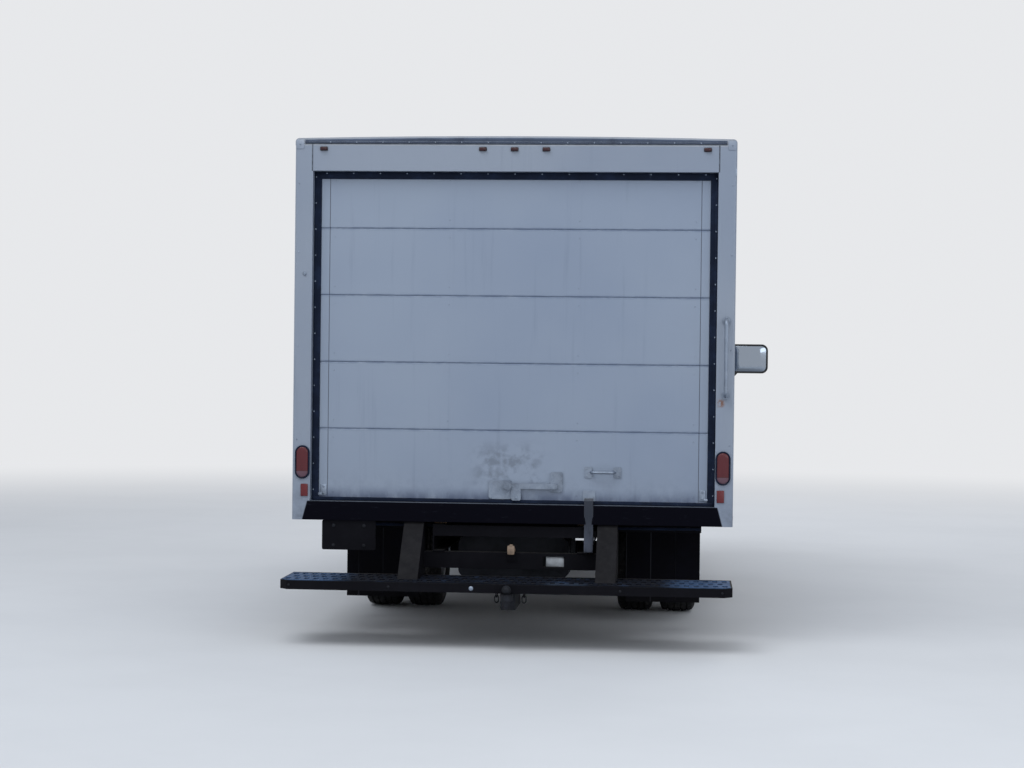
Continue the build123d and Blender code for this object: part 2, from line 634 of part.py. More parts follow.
export_step(exhaust.part, "parts/exhaust.step")

# Box floor: deck, cross sills, bars on the rails and two wheel houses
HOUSE_HALF_LENGTH = TYRE_RADIUS + 60.0
HOUSE_INNER = INNER_WHEEL - TYRE_WIDTH / 2 - 35.0
HOUSE_TOP = 2 * TYRE_RADIUS + 110.0
HOUSE_GAUGE = 8.0
DECK_HALF = HALF_BODY - WALL
DECK_REAR = REAR_FACE + POST_DEPTH
DECK_FRONT = BOX_FRONT - WALL
CROSS_SILL_COUNT = int((DECK_FRONT - DECK_REAR) // CROSS_SILL_PITCH)

with BuildPart() as box_floor:
    with BuildSketch(level(DECK_TOP - DECK_THICKNESS)):
        with Locations((0, (DECK_REAR + DECK_FRONT) / 2)):
            Rectangle(2 * DECK_HALF, DECK_FRONT - DECK_REAR)
    extrude(amount=DECK_THICKNESS)
    for number in range(CROSS_SILL_COUNT + 1):
        place = DECK_REAR + CROSS_SILL_WIDTH / 2 + number * CROSS_SILL_PITCH
        with BuildSketch(level(SILL_BOTTOM)):
            with Locations((0, place)):
                Rectangle(2 * DECK_HALF, CROSS_SILL_WIDTH)
        extrude(amount=CROSS_SILL_HEIGHT + 1.0)
    for hand in (-1, 1):
        with BuildSketch(level(RAIL_TOP)):
            with Locations((hand * (HALF_RAIL - RAIL_FLANGE / 2), (DECK_REAR + DECK_FRONT) / 2)):
                Rectangle(RAIL_FLANGE, DECK_FRONT - DECK_REAR)
        extrude(amount=SILL_BAR + 1.0)
        with BuildSketch(level(SILL_BOTTOM - 1.0)):
            with Locations((hand * (HOUSE_INNER + DECK_HALF) / 2, REAR_AXLE)):
                Rectangle(DECK_HALF - HOUSE_INNER, 2 * HOUSE_HALF_LENGTH)
        extrude(amount=DECK_TOP - SILL_BOTTOM + 2.0, mode=Mode.SUBTRACT)
        with BuildSketch(side(hand * HOUSE_INNER)):
            with Locations((REAR_AXLE, (SILL_BOTTOM + HOUSE_TOP) / 2)):
                Rectangle(2 * (HOUSE_HALF_LENGTH + HOUSE_GAUGE), HOUSE_TOP - SILL_BOTTOM)
        extrude(amount=hand * (DECK_HALF - HOUSE_INNER))
        with BuildSketch(side(hand * (HOUSE_INNER + HOUSE_GAUGE))):
            with Locations((REAR_AXLE, (SILL_BOTTOM + HOUSE_TOP) / 2 - HOUSE_GAUGE)):
                Rectangle(2 * HOUSE_HALF_LENGTH, HOUSE_TOP - SILL_BOTTOM)
        extrude(amount=hand * (DECK_HALF - HOUSE_INNER), mode=Mode.SUBTRACT)
box_floor.part.label = "box_floor"
export_step(box_floor.part, "parts/box_floor.step")

# Box side walls: outer sheet recessed between rails, ribs inside above the liner
WALL_BOTTOM = SILL_BOTTOM
WALL_REAR = REAR_FACE + POST_DEPTH
WALL_FRONT = BOX_FRONT - WALL
WALL_ARCH = TYRE_RADIUS + 62.0
POCKET_TOP = WALL_TOP - TOP_RAIL
POCKET_BOTTOM = DECK_TOP + LINER_HEIGHT
POST_COUNT = int((WALL_FRONT - WALL_REAR) // POST_PITCH)


def wall_solid(hand):
    """One side wall of the box."""
    with BuildPart() as wall:
        with BuildSketch(side(hand * DECK_HALF)):
            with Locations(((WALL_REAR + WALL_FRONT) / 2, (WALL_BOTTOM + WALL_TOP) / 2)):
                Rectangle(WALL_FRONT - WALL_REAR, WALL_TOP - WALL_BOTTOM)
            with Locations((REAR_AXLE, TYRE_RADIUS)):
                Circle(WALL_ARCH, mode=Mode.SUBTRACT)
        extrude(amount=hand * WALL)
        with BuildSketch(side(hand * HALF_BODY)):
            with Locations(((WALL_REAR + WALL_FRONT) / 2,
                            (WALL_BOTTOM + BOTTOM_RAIL + WALL_TOP - TOP_RAIL) / 2)):
                Rectangle(WALL_FRONT - WALL_REAR,
                          WALL_TOP - TOP_RAIL - WALL_BOTTOM - BOTTOM_RAIL)
        extrude(amount=-hand * WALL_RECESS, mode=Mode.SUBTRACT)
        for bay in range(POST_COUNT):
            middle = WALL_REAR + (bay + 0.5) * POST_PITCH + POST_WIDTH_INSIDE / 2
            with BuildSketch(side(hand * DECK_HALF)):
                with Locations((middle, (POCKET_BOTTOM + POCKET_TOP) / 2)):
                    Rectangle(POST_PITCH - POST_WIDTH_INSIDE, POCKET_TOP - POCKET_BOTTOM)
            extrude(amount=hand * POST_POCKET, mode=Mode.SUBTRACT)
    return wall.part


with BuildPart() as box_wall_left:
    add(wall_solid(-1))
box_wall_left.part.label = "box_wall_left"
export_step(box_wall_left.part, "parts/box_wall_left.step")

with BuildPart() as box_wall_right:
    add(wall_solid(1))
box_wall_right.part.label = "box_wall_right"
export_step(box_wall_right.part, "parts/box_wall_right.step")

# Front wall with rounded corner posts
with BuildPart() as box_front_wall:
    with BuildSketch(level(WALL_BOTTOM)):
        with BuildLine():
            FilletPolyline(
                (-HALF_BODY, BOX_FRONT - WALL),
                (-HALF_BODY, BOX_FRONT),
                (HALF_BODY, BOX_FRONT),
                (HALF_BODY, BOX_FRONT - WALL),
                radius=FRONT_CORNER_RADIUS,
            )
            Line((HALF_BODY, BOX_FRONT - WALL), (-HALF_BODY, BOX_FRONT - WALL))
        make_face()
    extrude(amount=WALL_TOP - WALL_BOTTOM)
box_front_wall.part.label = "box_front_wall"
export_step(box_front_wall.part, "parts/box_front_wall.step")

# Roof with a light crown and rounded side edges, rounded like the corner posts in plan
with BuildPart() as box_roof:
    with BuildSketch(cross(REAR_FACE)):
        with BuildLine():
            crown = ThreePointArc((-HALF_BODY, ROOF_TOP - ROOF_CROWN),
                                  (0, ROOF_TOP),
                                  (HALF_BODY, ROOF_TOP - ROOF_CROWN))
            Polyline(crown @ 1, (HALF_BODY, WALL_TOP), (-HALF_BODY, WALL_TOP), crown @ 0)
        make_face()
    extrude(amount=-BODY_LENGTH)
    fillet(box_roof.edges().filter_by(Axis.Z).group_by(Axis.Y)[-1], FRONT_CORNER_RADIUS)
    fillet(box_roof.faces().sort_by(Axis.Z)[-1].edges().filter_by(Axis.Y), ROOF_EDGE_RADIUS)
box_roof.part.label = "box_roof"
export_step(box_roof.part, "parts/box_roof.step")

# Rear frame: welded posts, header and sill round the door opening
PLATE_STUD_PITCH_X = 178.0
PLATE_STUD_PITCH_Z = 121.0
PLATE_X = -900.0
PLATE_TOP = SILL_BOTTOM

with BuildPart() as rear_frame:
    with BuildSketch(cross(REAR_FACE)):
        with Locations((0, (SILL_BOTTOM + WALL_TOP) / 2)):
            Rectangle(BODY_WIDTH, WALL_TOP - SILL_BOTTOM)
        with Locations((0, (DECK_TOP + OPENING_TOP) / 2)):
            Rectangle(2 * OPENING_HALF, OPENING_TOP - DECK_TOP, mode=Mode.SUBTRACT)
    extrude(amount=-POST_DEPTH)
    fillet(rear_frame.edges().filter_by(Axis.Z).group_by(Axis.Y)[0].group_by(Axis.X)[0], 12.0)
    fillet(rear_frame.edges().filter_by(Axis.Z).group_by(Axis.Y)[0].group_by(Axis.X)[-1], 12.0)
rear_frame.part.label = "rear_frame"
export_step(rear_frame.part, "parts/rear_frame.step")

# Roll-up door: a deep bottom section, three equal ones and the top one that tucks behind the header
DOOR_BOTTOM = DECK_TOP + SEAT_GAP
DOOR_HALF = OPENING_HALF - DOOR_SIDE_GAP
DOOR_FACE = REAR_FACE + DOOR_SETBACK
DOOR_EDGES = [DOOR_BOTTOM, DOOR_BOTTOM + BOTTOM_SECTION]
for number in range(MIDDLE_SECTIONS):
    DOOR_EDGES.append(DOOR_EDGES[-1] + DOOR_SECTION)
DOOR_EDGES.append(OPENING_TOP - SEAT_GAP)

with BuildPart() as door_sections:
    for base, top in zip(DOOR_EDGES[:-1], DOOR_EDGES[1:]):
        crest = top - DOOR_SECTION_GAP
        with BuildSketch(side(-DOOR_HALF)):
            with BuildLine():
                Polyline(
                    (DOOR_FACE + DOOR_THICKNESS, base),
                    (DOOR_FACE + DOOR_EDGE_CHAMFER, base),
                    (DOOR_FACE, base + DOOR_EDGE_CHAMFER),
                    (DOOR_FACE, crest - DOOR_EDGE_CHAMFER),
                    (DOOR_FACE + DOOR_EDGE_CHAMFER, crest),
                    (DOOR_FACE + DOOR_THICKNESS, crest),
                    close=True,
                )
            make_face()
        extrude(amount=2 * DOOR_HALF)
door_sections.part.label = "door_sections"
export_step(door_sections.part, "parts/door_sections.step")

# Rubber seals beside and above the door
SEAL_FACE = DOOR_FACE - SEAT_GAP - SEAL_THICKNESS

with BuildPart() as door_seals:
    with BuildSketch(cross(SEAL_FACE)):
        with Locations((0, (DECK_TOP + OPENING_TOP) / 2)):
            Rectangle(2 * (OPENING_HALF - SEAT_GAP), OPENING_TOP - DECK_TOP - 2 * SEAT_GAP)
        with Locations((0, (DECK_TOP + OPENING_TOP) / 2 - SEAL_WIDTH)):
            Rectangle(2 * (OPENING_HALF - SEAL_WIDTH), OPENING_TOP - DECK_TOP, mode=Mode.SUBTRACT)
    extrude(amount=-SEAL_THICKNESS)
door_seals.part.label = "door_seals"
export_step(door_seals.part, "parts/door_seals.step")

# Door latch: keeper plate and catch on the door's foot, lever across it
LATCH_X = -19.0
LATCH_Z = DECK_TOP + 24.0
LATCH_PLATE_WIDTH = 132.0
LATCH_PLATE_HEIGHT = 105.0
LATCH_GAUGE = 8.0
LEVER_LENGTH = 275.0
LEVER_HEIGHT = 30.0
LEVER_GAUGE = 14.0
LATCH_FACE = DOOR_FACE - SEAT_GAP

with BuildPart() as door_latch:
    with BuildSketch(cross(LATCH_FACE)):
        with Locations((LATCH_X - 42.0, LATCH_Z + LATCH_PLATE_HEIGHT / 2)):
            RectangleRounded(LATCH_PLATE_WIDTH, LATCH_PLATE_HEIGHT, 18.0)
        with Locations((LATCH_X + 268.0, LATCH_Z + 98.0)):
            RectangleRounded(70.0, 112.0, 14.0)
    extrude(amount=LATCH_GAUGE)
    with BuildSketch(cross(LATCH_FACE - LATCH_GAUGE)):
        with Locations((LATCH_X + LEVER_LENGTH / 2, LATCH_Z + 74.0)):
            SlotOverall(LEVER_LENGTH, LEVER_HEIGHT)
        with Locations((LATCH_X + 46.0, LATCH_Z + 30.0)):
            RectangleRounded(52.0, 72.0, 10.0)
    extrude(amount=LEVER_GAUGE)
    with BuildSketch(cross(LATCH_FACE - LATCH_GAUGE)):
        with Locations((LATCH_X, LATCH_Z + 74.0)):
            Circle(22.0)
    extrude(amount=LEVER_GAUGE + 10.0)
door_latch.part.label = "door_latch"
export_step(door_latch.part, "parts/door_latch.step")

# Grab handle on the door's lowest section
HANDLE_X = 505.0
HANDLE_Z = DECK_TOP + 180.0
HANDLE_SPAN = 205.0
HANDLE_REACH = 38.0
HANDLE_BAR = 16.0

with BuildPart() as door_handle:
    for hand in (-1, 1):
        with BuildSketch(cross(DOOR_FACE - SEAT_GAP)):
            with Locations((HANDLE_X + hand * (HANDLE_SPAN - 45.0) / 2, HANDLE_Z)):
                RectangleRounded(45.0, 62.0, 8.0)
        extrude(amount=5.0)
    with BuildLine() as handle_path:
        FilletPolyline(
            (HANDLE_X - 65.0, DOOR_FACE - 3.0, HANDLE_Z),
            (HANDLE_X - 55.0, DOOR_FACE - HANDLE_REACH, HANDLE_Z),
            (HANDLE_X + 55.0, DOOR_FACE - HANDLE_REACH, HANDLE_Z),
            (HANDLE_X + 65.0, DOOR_FACE - 3.0, HANDLE_Z),
            radius=14.0,
        )
    with BuildSketch(Plane(origin=handle_path.line @ 0, z_dir=handle_path.line % 0)):
        Circle(HANDLE_BAR / 2)
    sweep()
door_handle.part.label = "door_handle"
export_step(door_handle.part, "parts/door_handle.step")

# Pull strap: webbing that hangs from its clip over the sill
STRAP_X = 430.0
STRAP_WIDTH = 50.0
STRAP_LENGTH = 345.0
STRAP_THICKNESS = 3.0
STRAP_TOP = DECK_TOP + 40.0
CLIP_HEIGHT = 70.0

with BuildPart() as strap_clip:
    with BuildSketch(cross(DOOR_FACE - SEAT_GAP)):
        with Locations((STRAP_X, DECK_TOP + 10.0 + CLIP_HEIGHT / 2)):
            RectangleRounded(STRAP_WIDTH + 18.0, CLIP_HEIGHT, 8.0)
    extrude(amount=6.0)
strap_clip.part.label = "strap_clip"
export_step(strap_clip.part, "parts/strap_clip.step")

STRAP_FACE = REAR_FACE - SEAT_GAP
STRAP_BACK = DOOR_FACE - SEAT_GAP - 6.0 - SEAT_GAP

with BuildPart() as pull_strap:
    with BuildSketch(side(STRAP_X - STRAP_WIDTH / 2)):
        with BuildLine():
            Polyline(
                (STRAP_BACK, STRAP_TOP),
                (STRAP_BACK, DECK_TOP + 2.0),
                (STRAP_FACE, DECK_TOP + 2.0),
                (STRAP_FACE, STRAP_TOP - STRAP_LENGTH),
                (STRAP_FACE - STRAP_THICKNESS, STRAP_TOP - STRAP_LENGTH),
                (STRAP_FACE - STRAP_THICKNESS, DECK_TOP + 2.0 + STRAP_THICKNESS),
                (STRAP_BACK - STRAP_THICKNESS, DECK_TOP + 2.0 + STRAP_THICKNESS),
                (STRAP_BACK - STRAP_THICKNESS, STRAP_TOP),
                close=True,
            )
        make_face()
    extrude(amount=STRAP_WIDTH)
pull_strap.part.label = "pull_strap"
export_step(pull_strap.part, "parts/pull_strap.step")

# Grab bar on the right post
GRAB_X = HALF_BODY - 48.0
GRAB_TOP = 1800.0
GRAB_LENGTH = 445.0
GRAB_RADIUS = 11.0
GRAB_REACH = 60.0

with BuildPart() as grab_bar:
    with BuildLine() as bar_path:
        FilletPolyline(
            (GRAB_X, REAR_FACE - SEAT_GAP, GRAB_TOP - 18.0),
            (GRAB_X, REAR_FACE - GRAB_REACH, GRAB_TOP - 18.0),
            (GRAB_X, REAR_FACE - GRAB_REACH, GRAB_TOP - GRAB_LENGTH + 18.0),
            (GRAB_X, REAR_FACE - SEAT_GAP, GRAB_TOP - GRAB_LENGTH + 18.0),
            radius=25.0,
        )
    with BuildSketch(Plane(origin=bar_path.line @ 0, z_dir=bar_path.line % 0)):
        Circle(GRAB_RADIUS)
    sweep()
    for foot in (GRAB_TOP - 18.0, GRAB_TOP - GRAB_LENGTH + 18.0):
        with BuildSketch(cross(REAR_FACE - SEAT_GAP)):
            with Locations((GRAB_X, foot)):
                Circle(24.0)
        extrude(amount=6.0)
grab_bar.part.label = "grab_bar"
export_step(grab_bar.part, "parts/grab_bar.step")

# Rear lamps: oval tail lamps, marker lamps along the header and reflectors low on the posts
TAIL_LAMP_X = HALF_BODY - 57.0
TAIL_LAMP_Z = 975.0
TAIL_LAMP_WIDTH = 82.0
TAIL_LAMP_HEIGHT = 186.0
MARKER_Z = WALL_TOP - 18.0
REFLECTOR_Z = 820.0

# columns: x, z, width, height, stand-out from the rear face
REAR_LAMPS = (
    (-TAIL_LAMP_X, TAIL_LAMP_Z, TAIL_LAMP_WIDTH, TAIL_LAMP_HEIGHT, 14.0),
    (TAIL_LAMP_X, TAIL_LAMP_Z, TAIL_LAMP_WIDTH, TAIL_LAMP_HEIGHT, 14.0),
    (-TAIL_LAMP_X + 12.0, REFLECTOR_Z, 40.0, 68.0, 7.0),
    (TAIL_LAMP_X - 12.0, REFLECTOR_Z, 40.0, 68.0, 7.0),
    (-HALF_BODY + 160.0, MARKER_Z, 44.0, 24.0, 16.0),
    (HALF_BODY - 160.0, MARKER_Z, 44.0, 24.0, 16.0),
    (-175.0, MARKER_Z, 44.0, 24.0, 16.0),
    (0.0, MARKER_Z, 44.0, 24.0, 16.0),
    (175.0, MARKER_Z, 44.0, 24.0, 16.0),
)

with BuildPart() as rear_lamps:
    for x, z, width, height, proud in REAR_LAMPS:
        with BuildSketch(cross(REAR_FACE - SEAT_GAP)):
            with Locations((x, z)):
                RectangleRounded(width, height, 0.45 * min(width, height))
        extrude(amount=proud)
rear_lamps.part.label = "rear_lamps"
export_step(rear_lamps.part, "parts/rear_lamps.step")

# Blank plate bracket under the sill's left end
PLATE_WIDTH = 300.0
PLATE_HEIGHT = 165.0
PLATE_GAUGE = 4.0
PLATE_SLOT = 7.0
PLATE_FACE = REAR_FACE + 12.0

with BuildPart() as plate_bracket:
    with BuildSketch(cross(PLATE_FACE)):
        with Locations((PLATE_X, PLATE_TOP - PLATE_HEIGHT / 2)):
            RectangleRounded(PLATE_WIDTH, PLATE_HEIGHT, 10.0)
        with Locations((PLATE_X, PLATE_TOP - PLATE_HEIGHT / 2)):
            with GridLocations(PLATE_STUD_PITCH_X, PLATE_STUD_PITCH_Z, 2, 2):
                Circle(PLATE_SLOT / 2, mode=Mode.SUBTRACT)
    extrude(amount=-PLATE_GAUGE)
    with BuildSketch(level(SILL_BOTTOM - PLATE_GAUGE)):
        with Locations((PLATE_X, PLATE_FACE + 20.0)):
            Rectangle(PLATE_WIDTH - 40.0, 40.0)
    extrude(amount=PLATE_GAUGE)
plate_bracket.part.label = "plate_bracket"
export_step(plate_bracket.part, "parts/plate_bracket.step")

# Step bumper: folded tread with a rear lip, closed ends, drop brackets and the bar that joins them
BUMPER_WIDTH = 2430.0
STEP_TOP = 357.0
STEP_LIP = 48.0
STEP_FRONT = REAR_FACE + 60.0
STEP_REAR = REAR_FACE - STEP_REACH
STEP_GAUGE = 6.0
STEP_CORNER = 45.0
BRACKET_X = 535.0
BRACKET_WIDTH = 110.0
BAR_Z = 444.5
BAR_HEIGHT = 90.4
BAR_REAR = REAR_FACE + 30.0
BAR_DEPTH = 60.0
BAR_WINDOW_X = 238.0
BAR_WINDOW_Z = 443.0

with BuildPart() as step_bumper:
    with BuildSketch(level(STEP_TOP - STEP_LIP)):
        with BuildLine():
            FilletPolyline(
                (-BUMPER_WIDTH / 2, STEP_FRONT),
                (-BUMPER_WIDTH / 2, STEP_REAR + STEP_CORNER),
                (-BUMPER_WIDTH / 2 + STEP_CORNER, STEP_REAR),
                (BUMPER_WIDTH / 2 - STEP_CORNER, STEP_REAR),
                (BUMPER_WIDTH / 2, STEP_REAR + STEP_CORNER),
                (BUMPER_WIDTH / 2, STEP_FRONT),
                radius=20.0,
            )
            Line((BUMPER_WIDTH / 2, STEP_FRONT), (-BUMPER_WIDTH / 2, STEP_FRONT))
        make_face()
    extrude(amount=STEP_LIP)
    with BuildSketch(level(STEP_TOP - STEP_LIP)):
        with BuildLine():
            Polyline(
                (-BUMPER_WIDTH / 2 + STEP_GAUGE, STEP_FRONT),
                (-BUMPER_WIDTH / 2 + STEP_GAUGE, STEP_REAR + STEP_CORNER + STEP_GAUGE),
                (-BUMPER_WIDTH / 2 + STEP_CORNER + STEP_GAUGE, STEP_REAR + STEP_GAUGE),
                (BUMPER_WIDTH / 2 - STEP_CORNER - STEP_GAUGE, STEP_REAR + STEP_GAUGE),
                (BUMPER_WIDTH / 2 - STEP_GAUGE, STEP_REAR + STEP_CORNER + STEP_GAUGE),
                (BUMPER_WIDTH / 2 - STEP_GAUGE, STEP_FRONT),
                close=True,
            )
        make_face()
    extrude(amount=STEP_LIP - STEP_GAUGE, mode=Mode.SUBTRACT)
    for hand in (-1, 1):
        with BuildSketch(side(hand * BRACKET_X - BRACKET_WIDTH / 2)):
            with BuildLine():
                Polyline(
                    (REAR_FACE + 180.0, SILL_BOTTOM),
                    (REAR_FACE + 20.0, SILL_BOTTOM),
                    (STEP_REAR + 120.0, STEP_TOP - STEP_GAUGE),
                    (STEP_REAR + 120.0, STEP_TOP - STEP_LIP),
                    (REAR_FACE - 20.0, STEP_TOP - STEP_LIP),
                    (REAR_FACE + 180.0, STEP_TOP + 60.0),
                    close=True,
                )
            make_face()
        extrude(amount=BRACKET_WIDTH)
    with BuildSketch(cross(BAR_REAR)):
        with Locations((0, BAR_Z)):
            Rectangle(2 * BRACKET_X, BAR_HEIGHT)
        with Locations((BAR_WINDOW_X, BAR_WINDOW_Z)):
            RectangleRounded(118.0, 58.0, 8.0, mode=Mode.SUBTRACT)
    extrude(amount=-BAR_DEPTH)
step_bumper.part.label = "step_bumper"
export_step(step_bumper.part, "parts/step_bumper.step")

# Tow hitch: receiver block under the step, tongue past its lip and a turned ball
BALL_X = 18.0
BALL_Y = STEP_REAR - BALL_REACH
BALL_Z = STEP_TOP - 25.0
BALL_NECK = 14.0
TONGUE_TOP = STEP_TOP - STEP_LIP - SEAT_GAP - 2.0
TONGUE_HEIGHT = 32.0
TONGUE_WIDTH = 62.0
RECEIVER_WIDTH = 78.0
RECEIVER_DROP = 95.0
RECEIVER_FRONT = STEP_FRONT - 20.0
RECEIVER_REAR = STEP_REAR + 40.0

with BuildPart() as tow_hitch:
    with BuildSketch(side(BALL_X - RECEIVER_WIDTH / 2)):
        with BuildLine():
            Polyline(
                (RECEIVER_REAR, TONGUE_TOP),
                (RECEIVER_REAR, TONGUE_TOP - RECEIVER_DROP * 0.7),
                (RECEIVER_REAR + 40.0, TONGUE_TOP - RECEIVER_DROP),
                (RECEIVER_FRONT, TONGUE_TOP - RECEIVER_DROP),
                (RECEIVER_FRONT, STEP_TOP - STEP_GAUGE - SEAT_GAP),
                (RECEIVER_REAR + 90.0, STEP_TOP - STEP_GAUGE - SEAT_GAP),
                (RECEIVER_REAR + 90.0, TONGUE_TOP),
                close=True,
            )
        make_face()
    extrude(amount=RECEIVER_WIDTH)
    with BuildSketch(level(TONGUE_TOP - TONGUE_HEIGHT)):
        with Locations((BALL_X, (BALL_Y + RECEIVER_REAR) / 2 + 5.0)):
            Rectangle(TONGUE_WIDTH, RECEIVER_REAR - BALL_Y + 10.0)
        with Locations((BALL_X, BALL_Y)):
            Circle(TONGUE_WIDTH / 2 - 1.0)
    extrude(amount=TONGUE_HEIGHT)
    with BuildSketch(level(TONGUE_TOP - TONGUE_HEIGHT - 26.0)):
        with Locations((BALL_X, BALL_Y)):
            RegularPolygon(22.0, 6)
    extrude(amount=27.0)
    with BuildSketch(level(TONGUE_TOP - 1.0)):
        with Locations((BALL_X, BALL_Y)):
            Circle(BALL_NECK)
    extrude(amount=BALL_Z - TONGUE_TOP)
    with Locations((BALL_X, BALL_Y, BALL_Z)):
        Sphere(BALL_RADIUS)
tow_hitch.part.label = "tow_hitch"
export_step(tow_hitch.part, "parts/tow_hitch.step")

# Mudflaps behind the twin wheels
FLAP_IN = 615.0
FLAP_WIDTH = 435.0
FLAP_BOTTOM = 135.0
FLAP_GAUGE = 8.0
FLAP_Y = DECK_REAR + 2 * CROSS_SILL_PITCH - FLAP_GAUGE

with BuildPart() as mudflaps:
    for hand in (-1, 1):
        with BuildSketch(cross(FLAP_Y)):
            with Locations((hand * (FLAP_IN + FLAP_WIDTH / 2), (FLAP_BOTTOM + SILL_BOTTOM + 40.0) / 2)):
                Rectangle(FLAP_WIDTH, SILL_BOTTOM + 40.0 - FLAP_BOTTOM)
        extrude(amount=-FLAP_GAUGE)
mudflaps.part.label = "mudflaps"
export_step(mudflaps.part, "parts/mudflaps.step")


# Cab outlines, clockwise; columns: across, up or forward, corner radius
CAB_SIDE = (
    (CAB_BACK, CAB_BOTTOM, 0.0),
    (CAB_BACK, CAB_ROOF, 90.0),
    (CAB_BACK + ROOF_LENGTH, CAB_ROOF, 120.0),
    (COWL, COWL_HEIGHT, 60.0),
    (GRILLE_FACE - 20.0, HOOD_FRONT_HEIGHT, 110.0),
    (GRILLE_FACE, CAB_BOTTOM + 120.0, 60.0),
    (GRILLE_FACE - 60.0, CAB_BOTTOM, 0.0),
)
CAB_ACROSS = (
    (-CAB_HALF + 15.0, CAB_BOTTOM, 0.0),
    (-CAB_HALF, BELT - 300.0, 400.0),
    (-CAB_HALF, BELT, 200.0),
    (-CAB_ROOF_HALF, CAB_ROOF, 120.0),
    (CAB_ROOF_HALF, CAB_ROOF, 120.0),
    (CAB_HALF, BELT, 200.0),
    (CAB_HALF, BELT - 300.0, 400.0),
    (CAB_HALF - 15.0, CAB_BOTTOM, 0.0),
)
CAB_PLAN = (
    (-CAB_HALF, CAB_BACK, 50.0),
    (-CAB_HALF, FRONT_AXLE, 900.0),
    (-CAB_HALF + 60.0, GRILLE_FACE, 170.0),
    (CAB_HALF - 60.0, GRILLE_FACE, 170.0),
    (CAB_HALF, FRONT_AXLE, 900.0),
    (CAB_HALF, CAB_BACK, 50.0),
)


def rounded_outline(table, inset):
    """Draw a clockwise outline, drawn in by an inset, with its corners rounded."""
    corners = [Vector(across, up) for across, up, radius in table]
    moved = []
    radii = []
    for number, corner in enumerate(corners):
        incoming = (corner - corners[number - 1]).normalized()
        outgoing = (corners[(number + 1) % len(corners)] - corner).normalized()
        turn = incoming.cross(outgoing).Z
        moved.append(corner - (outgoing - incoming) * (inset / turn))
        radius = table[number][2]
        radii.append(max(radius + inset * (1 if turn > 0 else -1), 6.0) if radius else 0.0)
    return FilletPolyline(*moved, radius=radii, close=True)


def cab_form(inset):
    """The cab's outer form, drawn in by an inset: side, front and plan outlines crossed."""
    with BuildPart() as form:
        with BuildSketch(side(-CAB_HALF - 10.0)):
            with BuildLine():
                rounded_outline(CAB_SIDE, inset)
            make_face()
        extrude(amount=2 * CAB_HALF + 20.0)
        with BuildSketch(cross(CAB_BACK - 10.0)):
            with BuildLine():
                rounded_outline(CAB_ACROSS, inset)
            make_face()
        extrude(amount=-(GRILLE_FACE - CAB_BACK + 20.0), mode=Mode.INTERSECT)
        with BuildSketch(level(CAB_BOTTOM - 10.0)):
            with BuildLine():
                rounded_outline(CAB_PLAN, inset)
            make_face()
        extrude(amount=CAB_ROOF - CAB_BOTTOM + 20.0, mode=Mode.INTERSECT)
    return form.part


def screen_prism(shrink):
    """Windscreen opening, drawn from the front and carried back through the screen."""
    foot = COWL_HEIGHT + 45.0
    head = CAB_ROOF - 105.0
    with BuildPart() as prism:
        with BuildSketch(cross(CAB_BACK + ROOF_LENGTH / 2)):
            with BuildLine():
                FilletPolyline(
                    (-CAB_ROOF_HALF + 15.0, foot),
                    (-CAB_ROOF_HALF + 95.0, head),
                    (CAB_ROOF_HALF - 95.0, head),
                    (CAB_ROOF_HALF - 15.0, foot),
                    radius=70.0,
                    close=True,
                )
            make_face()
            if shrink:
                offset(amount=-shrink)
        extrude(amount=-(NOSE - CAB_BACK))
    return prism.part


def door_prism(hand, grow):
    """Outline of a cab door, grown by the gap where the shell is cut."""
    with BuildPart() as prism:
        with BuildSketch(side(hand * (CAB_ROOF_HALF - 230.0))):
            with BuildLine():
                FilletPolyline(
                    (SIDE_DOOR_REAR, CAB_BOTTOM + 70.0),
                    (SIDE_DOOR_REAR, CAB_ROOF - 78.0),
                    (CAB_BACK + ROOF_LENGTH - 40.0, CAB_ROOF - 78.0),
                    (SIDE_DOOR_FRONT, BELT + 150.0),
                    (SIDE_DOOR_FRONT, CAB_BOTTOM + 70.0),
                    radius=(50.0, 70.0, 90.0, 60.0, 50.0),
                    close=True,
                )
            make_face()
            if grow:
                offset(amount=grow, kind=Kind.INTERSECTION)
        extrude(amount=hand * 400.0)
    return prism.part


def side_window_prism(hand, shrink):
    """Side window in a door."""
    with BuildPart() as prism:
        with BuildSketch(side(hand * (CAB_ROOF_HALF - 230.0))):
            with BuildLine():
                FilletPolyline(
                    (SIDE_DOOR_REAR + 80.0, BELT + 30.0),
                    (SIDE_DOOR_REAR + 80.0, CAB_ROOF - 145.0),
                    (CAB_BACK + ROOF_LENGTH - 75.0, CAB_ROOF - 145.0),
                    (SIDE_DOOR_FRONT - 70.0, BELT + 150.0),
                    (SIDE_DOOR_FRONT - 70.0, BELT + 30.0),
                    radius=(40.0, 50.0, 60.0, 40.0, 40.0),
                    close=True,
                )
            make_face()
            if shrink:
                offset(amount=-shrink)
        extrude(amount=hand * 400.0)
    return prism.part


def hood_prism(grow):
    """Outline of the hood in plan, from the cowl to the nose."""
    with BuildPart() as prism:
        with BuildSketch(level(HOOD_FRONT_HEIGHT - 75.0 - grow)):
            with BuildLine():
                Polyline(
                    (-HOOD_HALF - grow, COWL + HOOD_GAP - grow),
                    (-HOOD_HALF + 60.0 - grow, GRILLE_FACE + 10.0),
                    (HOOD_HALF - 60.0 + grow, GRILLE_FACE + 10.0),
                    (HOOD_HALF + grow, COWL + HOOD_GAP - grow),
                    close=True,
                )
            make_face()
        extrude(amount=COWL_HEIGHT)
    return prism.part


